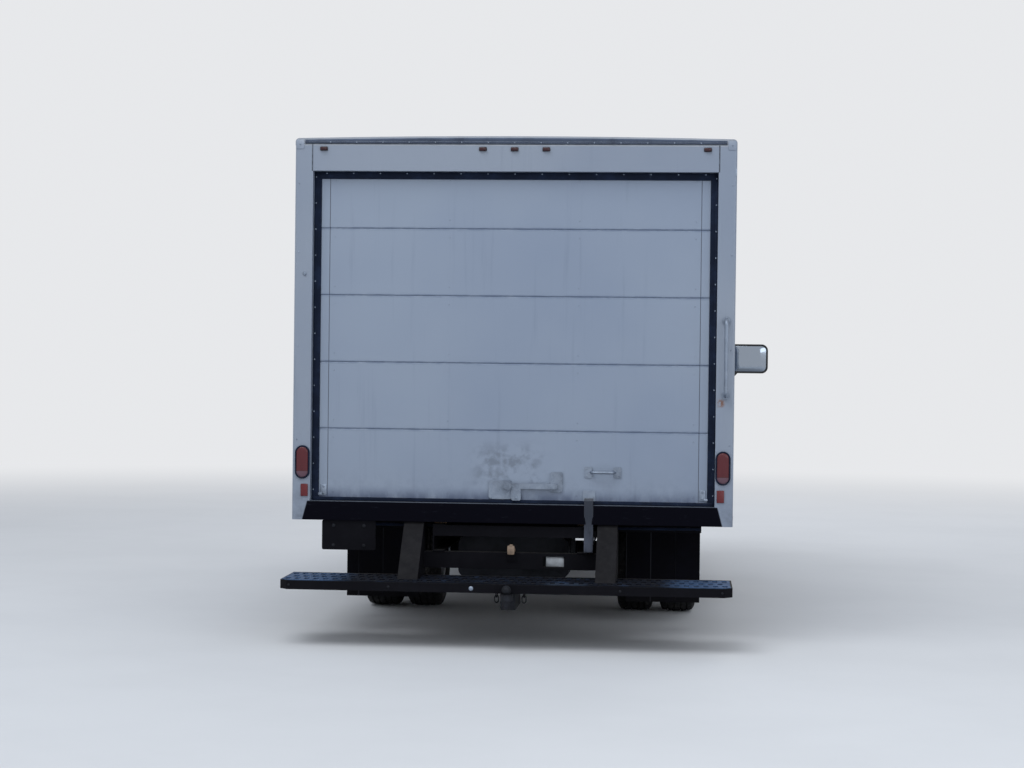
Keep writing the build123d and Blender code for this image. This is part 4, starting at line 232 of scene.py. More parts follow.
def paint(name, color, dark, grime=0.35):
    """White vehicle paint given in its grey shaded look (painted shade): cloudy film, runs of dirt, chips at
    the edges, orange peel.
    """
    f = Finish(name, color, 0.38, soften=0.0025, coat=0.15)
    f.layer(f.blotch(0.8, 0.35, 0.75, 3, 0.5), dark, 0.46)
    runs = f.blotch(2.6, 0.56, 0.86, 4, 0.6, stretch=(9, 9, 0.4))
    f.layer(f.times(runs, grime), [0.6 * c for c in dark], 0.55)
    f.layer(f.times(f.blotch(160, 0.5, 0.75, 3, 0.5), 0.10), dark, 0.5)
    splash = f.times(f.span(f.z, 1.0, 0.5), f.blotch(14, 0.35, 0.7, 7, 0.7), 0.55)
    f.layer(splash, GRIME, 0.7)
    chips = f.times(f.edges(0.0035), f.blotch(55, 0.5, 0.62, 4), 0.5)
    f.layer(chips, (0.12, 0.12, 0.13), 0.6)
    f.bump(f.noise(420, EVEN, 2), 0.00008)
    f.bump(f.noise(1.1, EVEN, 2), 0.004, 0.25)
    return f


def metal(name, color, roughness, grain=EVEN, dirt=0.35, rust=0.1, dulled=0.62):
    """Bare or zinc-coated metal with grain, dull clouds, grime and a little rust."""
    f = Finish(name, color, roughness, metallic=0.85, soften=0.0012)
    f.layer(f.blotch(6, 0.4, 0.7, 6, 0.7), [dulled * c for c in color], roughness + 0.12)
    f.layer(f.times(f.blotch(40, 0.45, 0.75, 4, stretch=grain), 0.35), [1.15 * c for c in color])
    f.layer(f.times(f.blotch(18, 0.55, 0.75, 7, 0.72), dirt), GRIME, 0.75)
    f.layer(f.times(f.blotch(26, 0.64, 0.74, 6, 0.7), rust), RUST, 0.85)
    f.bump(f.noise(260, grain, 4), 0.00015)
    return f


def rubber(name, color, roughness=0.72, dust=0.35):
    f = Finish(name, color, roughness, soften=0.0015, gloss=0.10)
    f.layer(f.blotch(9, 0.42, 0.72, 6, 0.7), [1.9 * c for c in color], roughness + 0.08)
    f.layer(f.times(f.upward(), f.blotch(30, 0.4, 0.7, 5), dust), DUST, 0.9)
    f.bump(f.noise(700, EVEN, 3), 0.0002)
    return f


# White paint set darker and bluer, as it looks in shade, with a darker tone of it for cloudy patches: painted
# shade
WHITE_IN_SHADE = (0.245, 0.292, 0.372)
WHITE_IN_SHADE_DARK = (0.205, 0.252, 0.340)

body_paint = paint("body_paint", WHITE_IN_SHADE, WHITE_IN_SHADE_DARK).made()

# The roll-up door has its own paint: grime by its joints, a band darker towards its foot, and dark stile seams
door = paint("door_paint", WHITE_IN_SHADE, WHITE_IN_SHADE_DARK, 0.30)
STILE_X, STILE_SEAM = 1.030, 0.0012
stile = door.line(door.math("ABSOLUTE", door.x), STILE_X, STILE_SEAM, STILE_SEAM)
door.layer(door.times(stile, 0.75), GRIME, 0.7)
door.bump(door.math("SUBTRACT", 1.0, stile), 0.0015)
DOOR_JOINTS = (1.1623, 1.5338, 1.9053, 2.2768)
broken = door.blotch(22, 0.30, 0.62, 6, 0.7, stretch=(0.6, 1, 2.5))
for joint in DOOR_JOINTS:
    haze = door.line(door.z, joint, 0.002, 0.014)
    door.layer(door.times(haze, broken, 0.40), (0.045, 0.075, 0.15), 0.7)
# The door's paint grows darker towards its foot
FOOT_DARKENING_START, FOOT_DARKEST = DECK + 0.095, DECK + 0.012
foot = door.times(door.span(door.z, FOOT_DARKENING_START, FOOT_DARKEST), door.blotch(9, 0.2, 0.62, 6, stretch=(1, 1, 0.4)))
door.layer(door.times(foot, 0.85), (0.05, 0.07, 0.13), 0.75)
SMEAR_X, SMEAR_Z = -0.02, 0.95
smear = door.times(
    door.line(door.x, SMEAR_X, 0.10, 0.16),
    door.line(door.z, SMEAR_Z, 0.05, 0.14),
    door.blotch(16, 0.42, 0.66, 6),
)
door.layer(door.times(smear, 0.4), GRIME, 0.8)
door_paint = door.made()

# The rear frame's white paint, set in its darker blue-grey look in shade: painted shade
rear = paint("frame_paint", (0.238, 0.275, 0.340), (0.195, 0.235, 0.310), 0.4)

# The sill is black below the deck, between two slanting ends; SILL_HALF is its half width at its top
SILL_TOP, SILL_HALF, SILL_SLANT, SILL_BLUR = 0.817, 1.119, 0.27, 0.003
sill_end = rear.math("MULTIPLY_ADD", rear.math("SUBTRACT", SILL_TOP, rear.z), SILL_SLANT, SILL_HALF)
sill_edge = rear.math("SUBTRACT", rear.math("ABSOLUTE", rear.x), sill_end)
sill = rear.times(
    rear.span(rear.z, DECK + SILL_BLUR, DECK - SILL_BLUR), rear.span(sill_edge, SILL_BLUR, -SILL_BLUR)
)
rear.layer(sill, (0.0045, 0.0045, 0.0075), 0.85)
dull = rear.math("SUBTRACT", 1.0, sill)
feed(rear.shader, {"Specular IOR Level": rear.times(dull, 0.5), "Coat Weight": rear.times(dull, 0.15)})
scuffs = rear.times(sill, rear.blotch(34, 0.60, 0.74, 7, 0.74, stretch=(0.35, 1, 2)))
rear.layer(rear.times(scuffs, 0.16), (0.10, 0.12, 0.16), 0.8)
RUST_X, RUST_Z, RUST_SIZE = 1.145, 1.33, 0.022
rust_spot = rear.times(
    rear.line(rear.x, RUST_X, RUST_SIZE / 3, RUST_SIZE), rear.line(rear.z, RUST_Z, RUST_SIZE / 3, RUST_SIZE)
)
rust_spot = rear.times(rust_spot, rear.blotch(60, 0.35, 0.6, 5))
rear.layer(rust_spot, RUST, 0.85)
frame_paint = rear.made()

roof_aluminium = metal("roof_aluminium", (0.33, 0.36, 0.41), 0.55, (18, 1, 1), 0.08, 0.0, 0.88).made()
cap = metal("cap_aluminium", (0.055, 0.072, 0.110), 0.5, (1, 12, 1), 0.3, 0.0)
# Painted highlight: the cap's edges are painted pale where a glint falls on them
cap.layer(cap.times(cap.edges(0.002, 0.02, 0.2), 0.6), (0.5, 0.53, 0.58), 0.35)
cap_aluminium = cap.made()

black = Finish("chassis_black", (0.0035, 0.0035, 0.0055), 0.66, soften=0.002, gloss=0.07)
black.layer(black.blotch(5, 0.42, 0.75, 6, 0.7), (0.0065, 0.0065, 0.009), 0.74)
black.layer(black.times(black.upward(), black.noise(20, EVEN, 5), 0.12), DUST, 0.85)
chips = black.times(black.edges(), black.blotch(45, 0.50, 0.62, 5), 0.18)
black.layer(chips, (0.08, 0.08, 0.09), 0.6)
black.layer(black.times(black.blotch(24, 0.68, 0.76, 7, 0.72), 0.2), RUST, 0.85)
black.bump(black.noise(300, EVEN, 3), 0.0003)
chassis_black = black.made()

metal("cast_iron", (0.10, 0.10, 0.10), 0.62, EVEN, 0.5, 0.5).made()
bare_steel = metal("bare_steel", (0.40, 0.43, 0.47), 0.42, (3, 3, 0.3), 0.35, 0.15).made()
zinc = metal("galvanised", (0.24, 0.285, 0.36), 0.5, EVEN, 0.25, 0.03)
zinc.layer(zinc.times(zinc.blotch(48, 0.45, 0.55, 1, 0.3), 0.25), (0.34, 0.39, 0.47))
galvanised = zinc.made()

rims = Finish("rim_paint", (0.56, 0.575, 0.60), 0.4, soften=0.0015, coat=0.2)
rims.layer(rims.blotch(7, 0.45, 0.75, 6, 0.7), (0.40, 0.40, 0.40), 0.5)
rims.layer(rims.times(rims.blotch(30, 0.55, 0.72, 7, 0.72), 0.6), (0.10, 0.085, 0.07), 0.8)
rims.bump(rims.noise(400, EVEN, 2), 0.0001)
rims.made()

tyre_mix = rubber("tyre", (0.012, 0.012, 0.013), 0.8, 0.2)
tyre_mix.layer(tyre_mix.times(tyre_mix.blotch(12, 0.5, 0.8, 7, 0.7), 0.35), DUST, 0.9)
tyre_rubber = tyre_mix.made()
seals = rubber("rubber", (0.0075, 0.012, 0.026), 0.72, 0.2)
worn = seals.blotch(30, 0.66, 0.74, 6, 0.7, stretch=(1, 1, 0.35))
seals.layer(seals.times(worn, 0.5), (0.14, 0.17, 0.22), 0.8)
rubber_seal = seals.made()

flap = rubber("flap_rubber", (0.0022, 0.0022, 0.004), 0.85, 0.05)
ribs = flap.wave(flap.x, 0.145, 0.985, 0.998)
rubbed = flap.times(ribs, flap.blotch(3, 0.45, 0.6, 3, stretch=(1, 1, 0.3)))
flap.layer(flap.times(rubbed, 0.3), (0.08, 0.085, 0.10), 0.8)
mud = flap.times(flap.span(flap.z, 0.32, 0.14), flap.noise(12, (1, 1, 0.5), 6))
flap.layer(flap.times(mud, 0.12), (0.06, 0.055, 0.05), 0.9)
flap.bump(ribs, 0.0015)
flap_rubber = flap.made()

planks = Finish("deck_wood", (0.22, 0.135, 0.075), 0.6)
grain = planks.noise(7, (12, 0.6, 12), 7, 0.7)
planks.layer(planks.span(grain, 0.4, 0.7), (0.12, 0.07, 0.04), 0.7)
plank_joint = planks.wave(planks.x, 0.14, 0.985, 0.998)
planks.layer(plank_joint, (0.02, 0.015, 0.01), 0.9)
planks.bump(grain, 0.0006)
planks.made()


def lens(name, color, roughness=0.12, transmission=0.0, pitch=0.006):
    """Moulded lamp lens with fine upright flutes."""
    f = Finish(name, color, roughness, soften=0.001, coat=0.1, gloss=0.35)
    feed(f.shader, {"Transmission Weight": transmission})
    f.layer(f.times(f.blotch(25, 0.5, 0.8, 6), 0.35), [0.55 * c for c in color], roughness + 0.2)
    f.bump(f.wave(f.x, pitch, -0.9, 0.9), 0.0006, 0.7)
    return f


red = lens("red_lens", (0.11, 0.010, 0.014), 0.25).made()
dark_red = lens("marker_lens", (0.030, 0.006, 0.010), 0.2).made()
amber = lens("amber_lens", (0.55, 0.14, 0.01)).made()
clear = lens("clear_lens", (0.60, 0.64, 0.68), 0.08, 0.35, 0.012).made()
tail = lens("tail_lens", (0.085, 0.009, 0.014), 0.3)
TAIL_SPLIT = 0.926
tail.layer(tail.span(tail.z, TAIL_SPLIT + 0.0015, TAIL_SPLIT - 0.0015), (0.11, 0.055, 0.075), 0.3)
tail.layer(tail.line(tail.z, TAIL_SPLIT, 0.0012, 0.0008), (0.05, 0.01, 0.01))
tail_lens = tail.made()

pane = Finish("glass", (0.55, 0.60, 0.62), 0.04, soften=0.0)
feed(pane.shader, {"Transmission Weight": 1.0, "IOR": 1.1})
pane.layer(pane.times(pane.blotch(3, 0.5, 0.8, 6, stretch=(1, 1, 0.4)), 0.25), (0.42, 0.44, 0.44), 0.16)
pane.made()

moulded = Finish("trim_plastic", (0.020, 0.021, 0.023), 0.55, soften=0.002)
moulded.layer(moulded.blotch(6, 0.42, 0.75, 6), (0.034, 0.035, 0.038), 0.64)
moulded.layer(moulded.times(moulded.upward(), moulded.noise(14, EVEN, 6), 0.3), DUST, 0.85)
moulded.bump(moulded.speckle(900, 0.0, 0.5), 0.0002)
trim_plastic = moulded.made()

chrome = Finish("bumper_chrome", (0.60, 0.61, 0.63), 0.12, metallic=1.0, soften=0.003)
chrome.layer(chrome.times(chrome.blotch(8, 0.5, 0.8, 7, 0.7), 0.5), (0.40, 0.40, 0.40), 0.34)
chrome.layer(chrome.times(chrome.speckle(70, 0.0, 0.16), 0.4), RUST, 0.8)
bumper_chrome = chrome.made()

mirror = Finish("mirror_glass", (0.30, 0.345, 0.41), 0.08, metallic=1.0, soften=0.0)
mirror.layer(mirror.times(mirror.blotch(12, 0.5, 0.8, 6), 0.3), (0.24, 0.28, 0.34), 0.2)
mirror_glass = mirror.made()


def cloth(name, color, pitch):
    """Woven cloth: two crossed sets of threads, fuzz and dark soiling."""
    f = Finish(name, color, 0.9, soften=0.0)
    feed(f.shader, {"Sheen Weight": 0.3})
    warp = f.wave(f.math("ADD", f.x, f.z), pitch, -0.6, 0.6)
    weft = f.wave(f.math("SUBTRACT", f.math("ADD", f.y, f.z), f.x), pitch, -0.6, 0.6)
    threads = f.math("MAXIMUM", warp, weft)
    f.layer(f.times(threads, 0.35), [0.55 * c for c in color])
    f.layer(f.times(f.blotch(8, 0.5, 0.8, 6), 0.4), [0.5 * c for c in color], 0.95)
    f.bump(threads, 0.0004)
    return f


seat_fabric = cloth("seat_fabric", (0.085, 0.090, 0.10), 0.0035).made()
piping = cloth("seat_piping", (0.035, 0.036, 0.04), 0.002).made()

tape = Finish("webbing", (0.020, 0.026, 0.042), 0.85, soften=0.0)
feed(tape.shader, {"Sheen Weight": 0.2})
rows = tape.wave(tape.z, 0.0032, -0.5, 0.5)
cords = tape.wave(tape.x, 0.0062, -0.2, 0.7)
fade = tape.times(tape.span(tape.z, 0.70, 0.52), tape.blotch(24, 0.22, 0.6, 6, stretch=(2, 1, 0.6)))
tape.layer(tape.times(fade, 0.7), (0.10, 0.115, 0.16), 0.92)
tape.layer(tape.times(rows, 0.3), (0.012, 0.014, 0.02))
tape.bump(tape.times(rows, cords), 0.0005)
webbing = tape.made()

tan = Finish("connector_tan", (0.24, 0.17, 0.12), 0.6, soften=0.002)
tan.layer(tan.blotch(30, 0.45, 0.75, 6), (0.12, 0.085, 0.06), 0.7)
connector_tan = tan.made()

seam = Finish("sealant", (0.045, 0.055, 0.075), 0.75, soften=0.0)
seam.layer(seam.blotch(40, 0.4, 0.7, 5), (0.10, 0.12, 0.15), 0.85)
sealant = seam.made()

# The step's tread is painted blue-grey at its ends, a painted sky reflection, and painted dark in the middle,
# a painted shade
plate = metal("tread_steel", (0.060, 0.115, 0.230), 0.62, (10, 1, 1), 0.3, 0.04)
# Painted shade: the tread's middle is darkened to near black
middle = plate.times(
    plate.span(plate.math("ABSOLUTE", plate.x), 1.02, 0.80),
    plate.blotch(5, 0.80, 0.55, 6, 0.7, stretch=(1, 2, 1)),
)
plate.layer(plate.times(middle, 0.97), (0.005, 0.006, 0.011), 0.9)
POLISH_X, POLISH_Y = 0.33, STEP_REAR + 0.05
polish = plate.times(plate.line(plate.x, POLISH_X, 0.06, 0.08), plate.line(plate.y, POLISH_Y, 0.02, 0.05))
plate.layer(plate.times(polish, 0.7), (0.05, 0.075, 0.12), 0.5)
tread_steel = plate.made()

sooty_steel = metal("sooty_steel", (0.022, 0.024, 0.030), 0.6, EVEN, 0.5, 0.06).made()

# A CAD piece takes the finish named as its slot, apart from these
NODE_FINISH = {"door_sections": door_paint, "mudflaps": flap_rubber}
NODE_FINISH |= dict.fromkeys(("door_latch", "door_handle", "strap_clip", "grab_bar"), galvanised)
NODE_FINISH |= dict.fromkeys(("fuel_tank", "tow_hitch", "drive_shaft"), sooty_steel)
for name, node in nodes.items():
    for place in node.material_slots:
        place.material = NODE_FINISH.get(name) or finishes[place.material.name.split(".")[0]]


# ---------------------------------------------------------------- shapes


def join(bm, first, second, shift=0):
    """Join two loops of equal length by faces."""
    count = len(first)
    for i in range(count):
        j = (i + 1) % count
        bm.faces.new((first[i], first[j], second[(j + shift) % count], second[(i + shift) % count]))


def loft(bm, rings):
    """Skin rings of equal length, and close the two ends."""
    loops = [[bm.verts.new(point) for point in ring] for ring in rings]
    for first, second in zip(loops, loops[1:]):
        join(bm, first, second)
    bm.faces.new(loops[0])
    bm.faces.new(loops[-1])


def rounded(width, height, radius, steps=4):
    """Outline of a rectangle with round corners, about its middle."""
    radius = min(radius, width / 2 - 1e-5, height / 2 - 1e-5)
    points = []
    corners = ((1, 1, 0.0), (-1, 1, 0.5), (-1, -1, 1.0), (1, -1, 1.5))
    for across, up, start in corners:
        for i in range(steps + 1):
            turn = math.pi * (start + i / (2 * steps))
            points.append((
                across * (width / 2 - radius) + radius * math.cos(turn),
                up * (height / 2 - radius) + radius * math.sin(turn),
            ))
    return points


def circle(radius, steps):
    turns = [2 * math.pi * i / steps for i in range(steps)]
    return [(radius * math.cos(turn), radius * math.sin(turn)) for turn in turns]


def axes(direction):
    """Two directions square to a direction and to each other."""
    direction = Vector(direction).normalized()
    side = direction.cross(UP if abs(direction.z) < 0.9 else Vector((0, 1, 0))).normalized()
    return side, direction.cross(side)


def placed(outline, centre, u, v):
    return [Vector(centre) + u * a + v * b for a, b in outline]


def block(bm, centre, size, radius=0.003, chamfer=0.001, axis=1):
    """A rectangular piece with round corners about one axis and chamfered ends."""
    units = (X_AXIS, -OUT, UP)
    u, v = units[axis - 2], units[axis - 1]
    width, height, depth = size[axis - 2], size[axis - 1], size[axis]
    rings = []
    for along, inset in ((0, chamfer), (chamfer, 0), (depth - chamfer, 0), (depth, chamfer)):
        outline = rounded(width - 2 * inset, height - 2 * inset, radius)
        rings.append(placed(outline, Vector(centre) + units[axis] * (along - depth / 2), u, v))
    loft(bm, rings)


def turned(bm, centre, direction, profile, steps=16):
    """A turned piece; the profile is pairs of distance along the axis and radius."""
    u, v = axes(direction)
    along = Vector(direction).normalized()
    loft(bm, [placed(circle(r, steps), Vector(centre) + along * d, u, v) for d, r in profile])


def tube(bm, points, radius, steps=8):
    """A round tube along a run of points."""
    points = [Vector(p) for p in points]
    u, _ = axes(points[1] - points[0])
    rings = []
    for i, point in enumerate(points):
        ahead = (points[min(i + 1, len(points) - 1)] - points[max(i - 1, 0)]).normalized()
        u = (u - ahead * u.dot(ahead)).normalized()
        rings.append(placed(circle(radius, steps), point, u, ahead.cross(u)))
    loft(bm, rings)


def closed_tube(bm, points, radius, steps=8):
    """A round bead along a closed run of points."""
    count = len(points)
    u, _ = axes(points[1] - points[-1])
    loops = []
    for i, point in enumerate(points):
        ahead = (points[(i + 1) % count] - points[i - 1]).normalized()
        u = (u - ahead * u.dot(ahead)).normalized()
        loops.append([bm.verts.new(p) for p in placed(circle(radius, steps), point, u, ahead.cross(u))])
    for first, second in zip(loops, loops[1:]):
        join(bm, first, second)
    last, first = loops[-1], loops[0]
    join(bm, last, first, min(range(steps), key=lambda k: (last[0].co - first[k].co).length))


def bolt(bm, centre, direction, size=0.008):
    """A hexagon head on a washer; size is the head's half width."""
    washer = ((0, 1.55), (0.22, 1.6), (0.3, 1.5))
    head = ((0.25, 1.12), (0.9, 1.15), (1.05, 0.95))
    turned(bm, centre, direction, [(d * size, r * size) for d, r in washer], 16)
    turned(bm, centre, direction, [(d * size, r * size) for d, r in head], 6)


def rivet(bm, centre, direction, size=0.006):
    """A low domed rivet head of a radius."""
    dome = ((0, 1), (0.28, 0.92), (0.5, 0.6), (0.58, 0.2))
    turned(bm, centre, direction, [(d * size, r * size) for d, r in dome], 8)


trees = {}


def surface(node, start, direction):
    """Where a line meets a CAD node, with the normal there, or None."""
    if node not in trees:
        mesh = nodes[node].data
        corners = [v.co for v in mesh.vertices]
        trees[node] = BVHTree.FromPolygons(corners, [list(p.vertices) for p in mesh.polygons])
    hit, normal, _, _ = trees[node].ray_cast(Vector(start), Vector(direction).normalized())
    return (hit, normal) if hit else None


# Where a line starts that looks for a face: behind, beside, above and ahead of the truck
BEHIND, BESIDE, ABOVE, AHEAD = STEP_REAR - 0.5, 2.0, 4.0, 4.0


def from_behind(node, x, z):
    return surface(node, (x, BEHIND, z), -OUT)


def from_side(node, hand, y, z):
    return surface(node, (hand * BESIDE, y, z), (-hand, 0, 0))


def from_above(node, x, y):
    return surface(node, (x, y, ABOVE), -UP)


def from_ahead(node, x, z):
    return surface(node, (x, AHEAD, z), OUT)


def heads(bm, head, node, xs, zs, size):
    """Lay a bolt or rivet head on a CAD node's rear face, at each x and each z."""
    for x in xs:
        for z in zs:
            found = from_behind(node, x, z)
            if found:
                head(bm, found[0], OUT, size)


def added(name, data):
    """A new object in the scene."""
    made = bpy.data.objects.new(name, data)
    bpy.context.scene.collection.objects.link(made)
    return made


def piece(name, bm, finish, body="root", angle=38.0):
    """Make an object of a bmesh, with its finish, and let it ride on a body."""
    bmesh.ops.recalc_face_normals(bm, faces=bm.faces)
    mesh = bpy.data.meshes.new(name)
    bm.to_mesh(mesh)
    bm.free()
    mesh.shade_smooth()
    mesh.set_sharp_from_angle(angle=math.radians(angle))
    mesh.materials.append(finish)
    made = added(name, mesh)
    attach(made, body)
    return made


# ---------------------------------------------------------------- rear frame and door

# Roof cap: a dull extrusion along the rear edge, its top following the roof's crown
CAP_HALF, CAP_FOOT, CAP_PROUD, CAP_STATIONS = 1.165, 2.743, 0.004, 24
CAP_BELOW_ROOF, CAP_CROWN = 0.0055, 0.014
face = REAR - CAP_PROUD
rings = []
for i in range(CAP_STATIONS + 1):
    x = CAP_HALF * (2 * i / CAP_STATIONS - 1)
    top = ROOF_TOP - CAP_BELOW_ROOF - CAP_CROWN * (x / HALF_BODY) ** 2
    section = (
        (REAR + 0.004, CAP_FOOT), (face + 0.001, CAP_FOOT), (face, CAP_FOOT + 0.001), (face, CAP_FOOT + 0.010),
        (face + 0.002, CAP_FOOT + 0.012), (face + 0.002, top - 0.012), (face + 0.004, top - 0.004),
        (REAR + 0.003, top), (REAR + 0.012, top),
    )
    rings.append([Vector((x, y, z)) for y, z in section])
bm = bmesh.new()
loft(bm, rings)
piece("roof_cap_strip", bm, cap_aluminium)

bm = bmesh.new()
for i in range(-7, 8):
    rivet(bm, (0.146 * i, face, CAP_FOOT + 0.006), OUT, 0.0035)
piece("roof_cap_rivets", bm, galvanised)

# Upright seams where the header meets the posts, and a bead along the cap's foot
POST_EDGE = 1.123
bm = bmesh.new()
for x in (-POST_EDGE, POST_EDGE):
    centre = (x, REAR - 0.0002, (OPENING_TOP + CAP_FOOT) / 2)
    block(bm, centre, (0.007, 0.0016, CAP_FOOT - OPENING_TOP), 0.0007, 0.0003)
block(bm, (0, REAR - 0.0002, CAP_FOOT - 0.003), (2 * CAP_HALF, 0.0018, 0.005), 0.0007, 0.0003)
piece("header_seams", bm, sealant)

# Post corners' caps with their screws, the posts' rivets, a bolt head and a bracket at the right edge
CORNER_X, CORNER_Z = 1.192, CAP_FOOT - 0.006
POST_RIVET_X, POST_RIVETS_Z = 1.196, (1.10, 1.62, 2.14, 2.52)
POST_BOLT = (-1.160, REAR, 2.02)
EDGE_BRACKET = (1.2145, REAR + 0.012, 2.59)
bm = bmesh.new()
for hand, _ in HANDS:
    block(bm, (hand * CORNER_X, REAR - 0.001, CORNER_Z), (0.046, 0.003, 0.052), 0.006, 0.0008)
piece("post_corner_caps", bm, frame_paint)
bm = bmesh.new()
for hand, _ in HANDS:
    rivet(bm, (hand * CORNER_X, REAR - 0.0025, CORNER_Z), OUT, 0.005)
bolt(bm, POST_BOLT, OUT, 0.0075)
for z in POST_RIVETS_Z:
    rivet(bm, (POST_RIVET_X, REAR, z), OUT, 0.0045)
    rivet(bm, (-POST_RIVET_X, REAR, z), OUT, 0.0045)
block(bm, EDGE_BRACKET, (0.009, 0.024, 0.040), 0.002, 0.001)
piece("post_hardware", bm, galvanised)

# Retainers and rivets of the door's seals, along the posts and the header
SEAL_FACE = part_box("door_seals")[0].y
SEAL_X, SEAL_Z = 1.1095, OPENING_TOP - 0.009
bm = bmesh.new()
for hand, _ in HANDS:
    centre = (hand * SEAL_X, SEAL_FACE - 0.0008, (DECK + OPENING_TOP) / 2)
    block(bm, centre, (0.014, 0.0022, OPENING_TOP - DECK - 0.02), 0.0008, 0.0005)
block(bm, (0, SEAL_FACE - 0.0008, SEAL_Z), (2.19, 0.0022, 0.013), 0.0008, 0.0005)
piece("seal_retainers", bm, rubber_seal)
bm = bmesh.new()
for i in range(13):
    for hand, _ in HANDS:
        rivet(bm, (hand * SEAL_X, SEAL_FACE - 0.0018, DECK + 0.06 + 0.145 * i), OUT, 0.0042)
for i in range(-7, 8):
    rivet(bm, (0.15 * i, SEAL_FACE - 0.0018, SEAL_Z), OUT, 0.0042)
piece("seal_rivets", bm, galvanised)

# Rubber foot of the door, roller brackets at its lower corners, carriage bolts of its hinges
bm = bmesh.new()
block(bm, (0, DOOR - 0.004, DECK + 0.011), (2 * DOOR_HALF - 0.012, 0.010, 0.020), 0.004, 0.002, 0)
piece("door_foot_rubber", bm, rubber_seal)
bm = bmesh.new()
for hand, _ in HANDS:
    block(bm, (hand * 1.052, DOOR - 0.0015, DECK + 0.060), (0.034, 0.004, 0.062), 0.005, 0.001)
    block(bm, (hand * 1.070, DOOR - 0.004, DECK + 0.036), (0.022, 0.009, 0.014), 0.003, 0.001)
    for dz in (0.042, 0.078):
        bolt(bm, (hand * 1.052, DOOR - 0.0033, DECK + dz), OUT, 0.0042)
piece("roller_brackets", bm, galvanised)
bm = bmesh.new()
edges_z = (DECK,) + DOOR_JOINTS + (OPENING_TOP,)
for low, high in zip(edges_z, edges_z[1:]):
    for x in (-1.0, -0.36, 0.36, 1.0):
        for z in (low + 0.048, high - 0.048):
            rivet(bm, (x, DOOR, z), OUT, 0.0036)
piece("door_carriage_bolts", bm, door_paint)

# Latch, handle, clip and bar fixings, and the plate bracket's bolts, seated on the CAD pieces
LATCH_BOLT_X = 0.028
PLATE_BOLTS_X, PLATE_BOLTS_Z = (-0.985, -0.815), (0.625, 0.515)
GRAB_FOOT_PROUD = 0.012
bm = bmesh.new()
low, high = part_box("door_latch")
heads(bm, bolt, "door_latch", (low.x + 0.014, LATCH_BOLT_X), (low.z + 0.013, high.z - 0.013), 0.0042)
low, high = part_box("door_handle")
middle_z = (low.z + high.z) / 2
rows = (middle_z - 0.019, middle_z + 0.019)
heads(bm, rivet, "door_handle", (low.x + 0.012, high.x - 0.012), rows, 0.0042)
low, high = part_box("strap_clip")
heads(bm, rivet, "strap_clip", (low.x + 0.007, high.x - 0.007), ((low.z + high.z) / 2,), 0.004)
low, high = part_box("grab_bar")
for z in (low.z + 0.008, low.z + 0.050, high.z - 0.050, high.z - 0.008):
    found = from_behind("grab_bar", (low.x + high.x) / 2, z)
    if found and found[0].y > REAR - GRAB_FOOT_PROUD:
        bolt(bm, found[0], OUT, 0.005)
piece("rear_fixings", bm, galvanised)
bm = bmesh.new()
heads(bm, bolt, "plate_bracket", PLATE_BOLTS_X, PLATE_BOLTS_Z, 0.006)
piece("plate_bolts", bm, sooty_steel)

# ---------------------------------------------------------------- lamps

TAIL_X, TAIL_Z, TAIL_WIDTH, TAIL_HEIGHT = 1.162, 0.975, 0.082, 0.186
RING = 0.0085
LENS_EDGE = 2 * RING + 0.001
# Each ring of an oval form: how far it is inside the outline, both sides together, and how proud it stands
GROMMET = (
    (0, 0.0), (0, 0.008), (0.003, 0.0115), (0.008, 0.013), (2 * RING - 0.004, 0.0125), (2 * RING, 0.009),
    (2 * RING, 0.001),
)
LENS = (
    (LENS_EDGE, 0.0015), (LENS_EDGE, 0.0105), (2 * RING + 0.004, 0.0124), (2 * RING + 0.012, 0.0138),
    (2 * RING + 0.026, 0.0150), (2 * RING + 0.044, 0.0156),
)


def domed(bm, x, z, width, height, radius, steps, rings):
    """A form with a round-cornered outline that stands on the rear face, from rings of inset and height."""
    outlines = [(rounded(width - i, height - i, radius or width - i, steps), p) for i, p in rings]
    loft(bm, [placed(outline, (x, REAR - p, z), X_AXIS, UP) for outline, p in outlines])


grommet_bm, lens_bm = bmesh.new(), bmesh.new()
for hand, _ in HANDS:
    for bm, rings in ((grommet_bm, GROMMET), (lens_bm, LENS)):
        domed(bm, hand * TAIL_X, TAIL_Z, TAIL_WIDTH, TAIL_HEIGHT, None, 7, rings)
rear_lenses = piece("tail_lamp_lenses", lens_bm, tail_lens)
piece("tail_lamp_grommets", grommet_bm, rubber_seal)
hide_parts("rear_lamps")

MARKER_Z = WALL_TOP - 0.018
MARKERS_X = (-HALF_BODY + 0.16, HALF_BODY - 0.16, -0.175, 0.0, 0.175)
MARKER = ((0, 0.004), (0, 0.011), (0.003, 0.014), (0.008, 0.0155))
marker_bm, base_bm = bmesh.new(), bmesh.new()
for x in MARKERS_X:
    block(base_bm, (x, REAR - 0.0025, MARKER_Z), (0.044, 0.005, 0.024), 0.006, 0.001)
    domed(marker_bm, x, MARKER_Z, 0.040, 0.020, 0.008, 4, MARKER)
piece("marker_lamp_bases", base_bm, trim_plastic)
piece("marker_lamp_lenses", marker_bm, dark_red)

REFLECTOR_Z = 0.82
bm = bmesh.new()
for hand, _ in HANDS:
    block(bm, (hand * (TAIL_X - 0.012), REAR - 0.0035, REFLECTOR_Z), (0.040, 0.007, 0.068), 0.004, 0.0012)
piece("rear_reflectors", bm, red)

# ---------------------------------------------------------------- pull strap

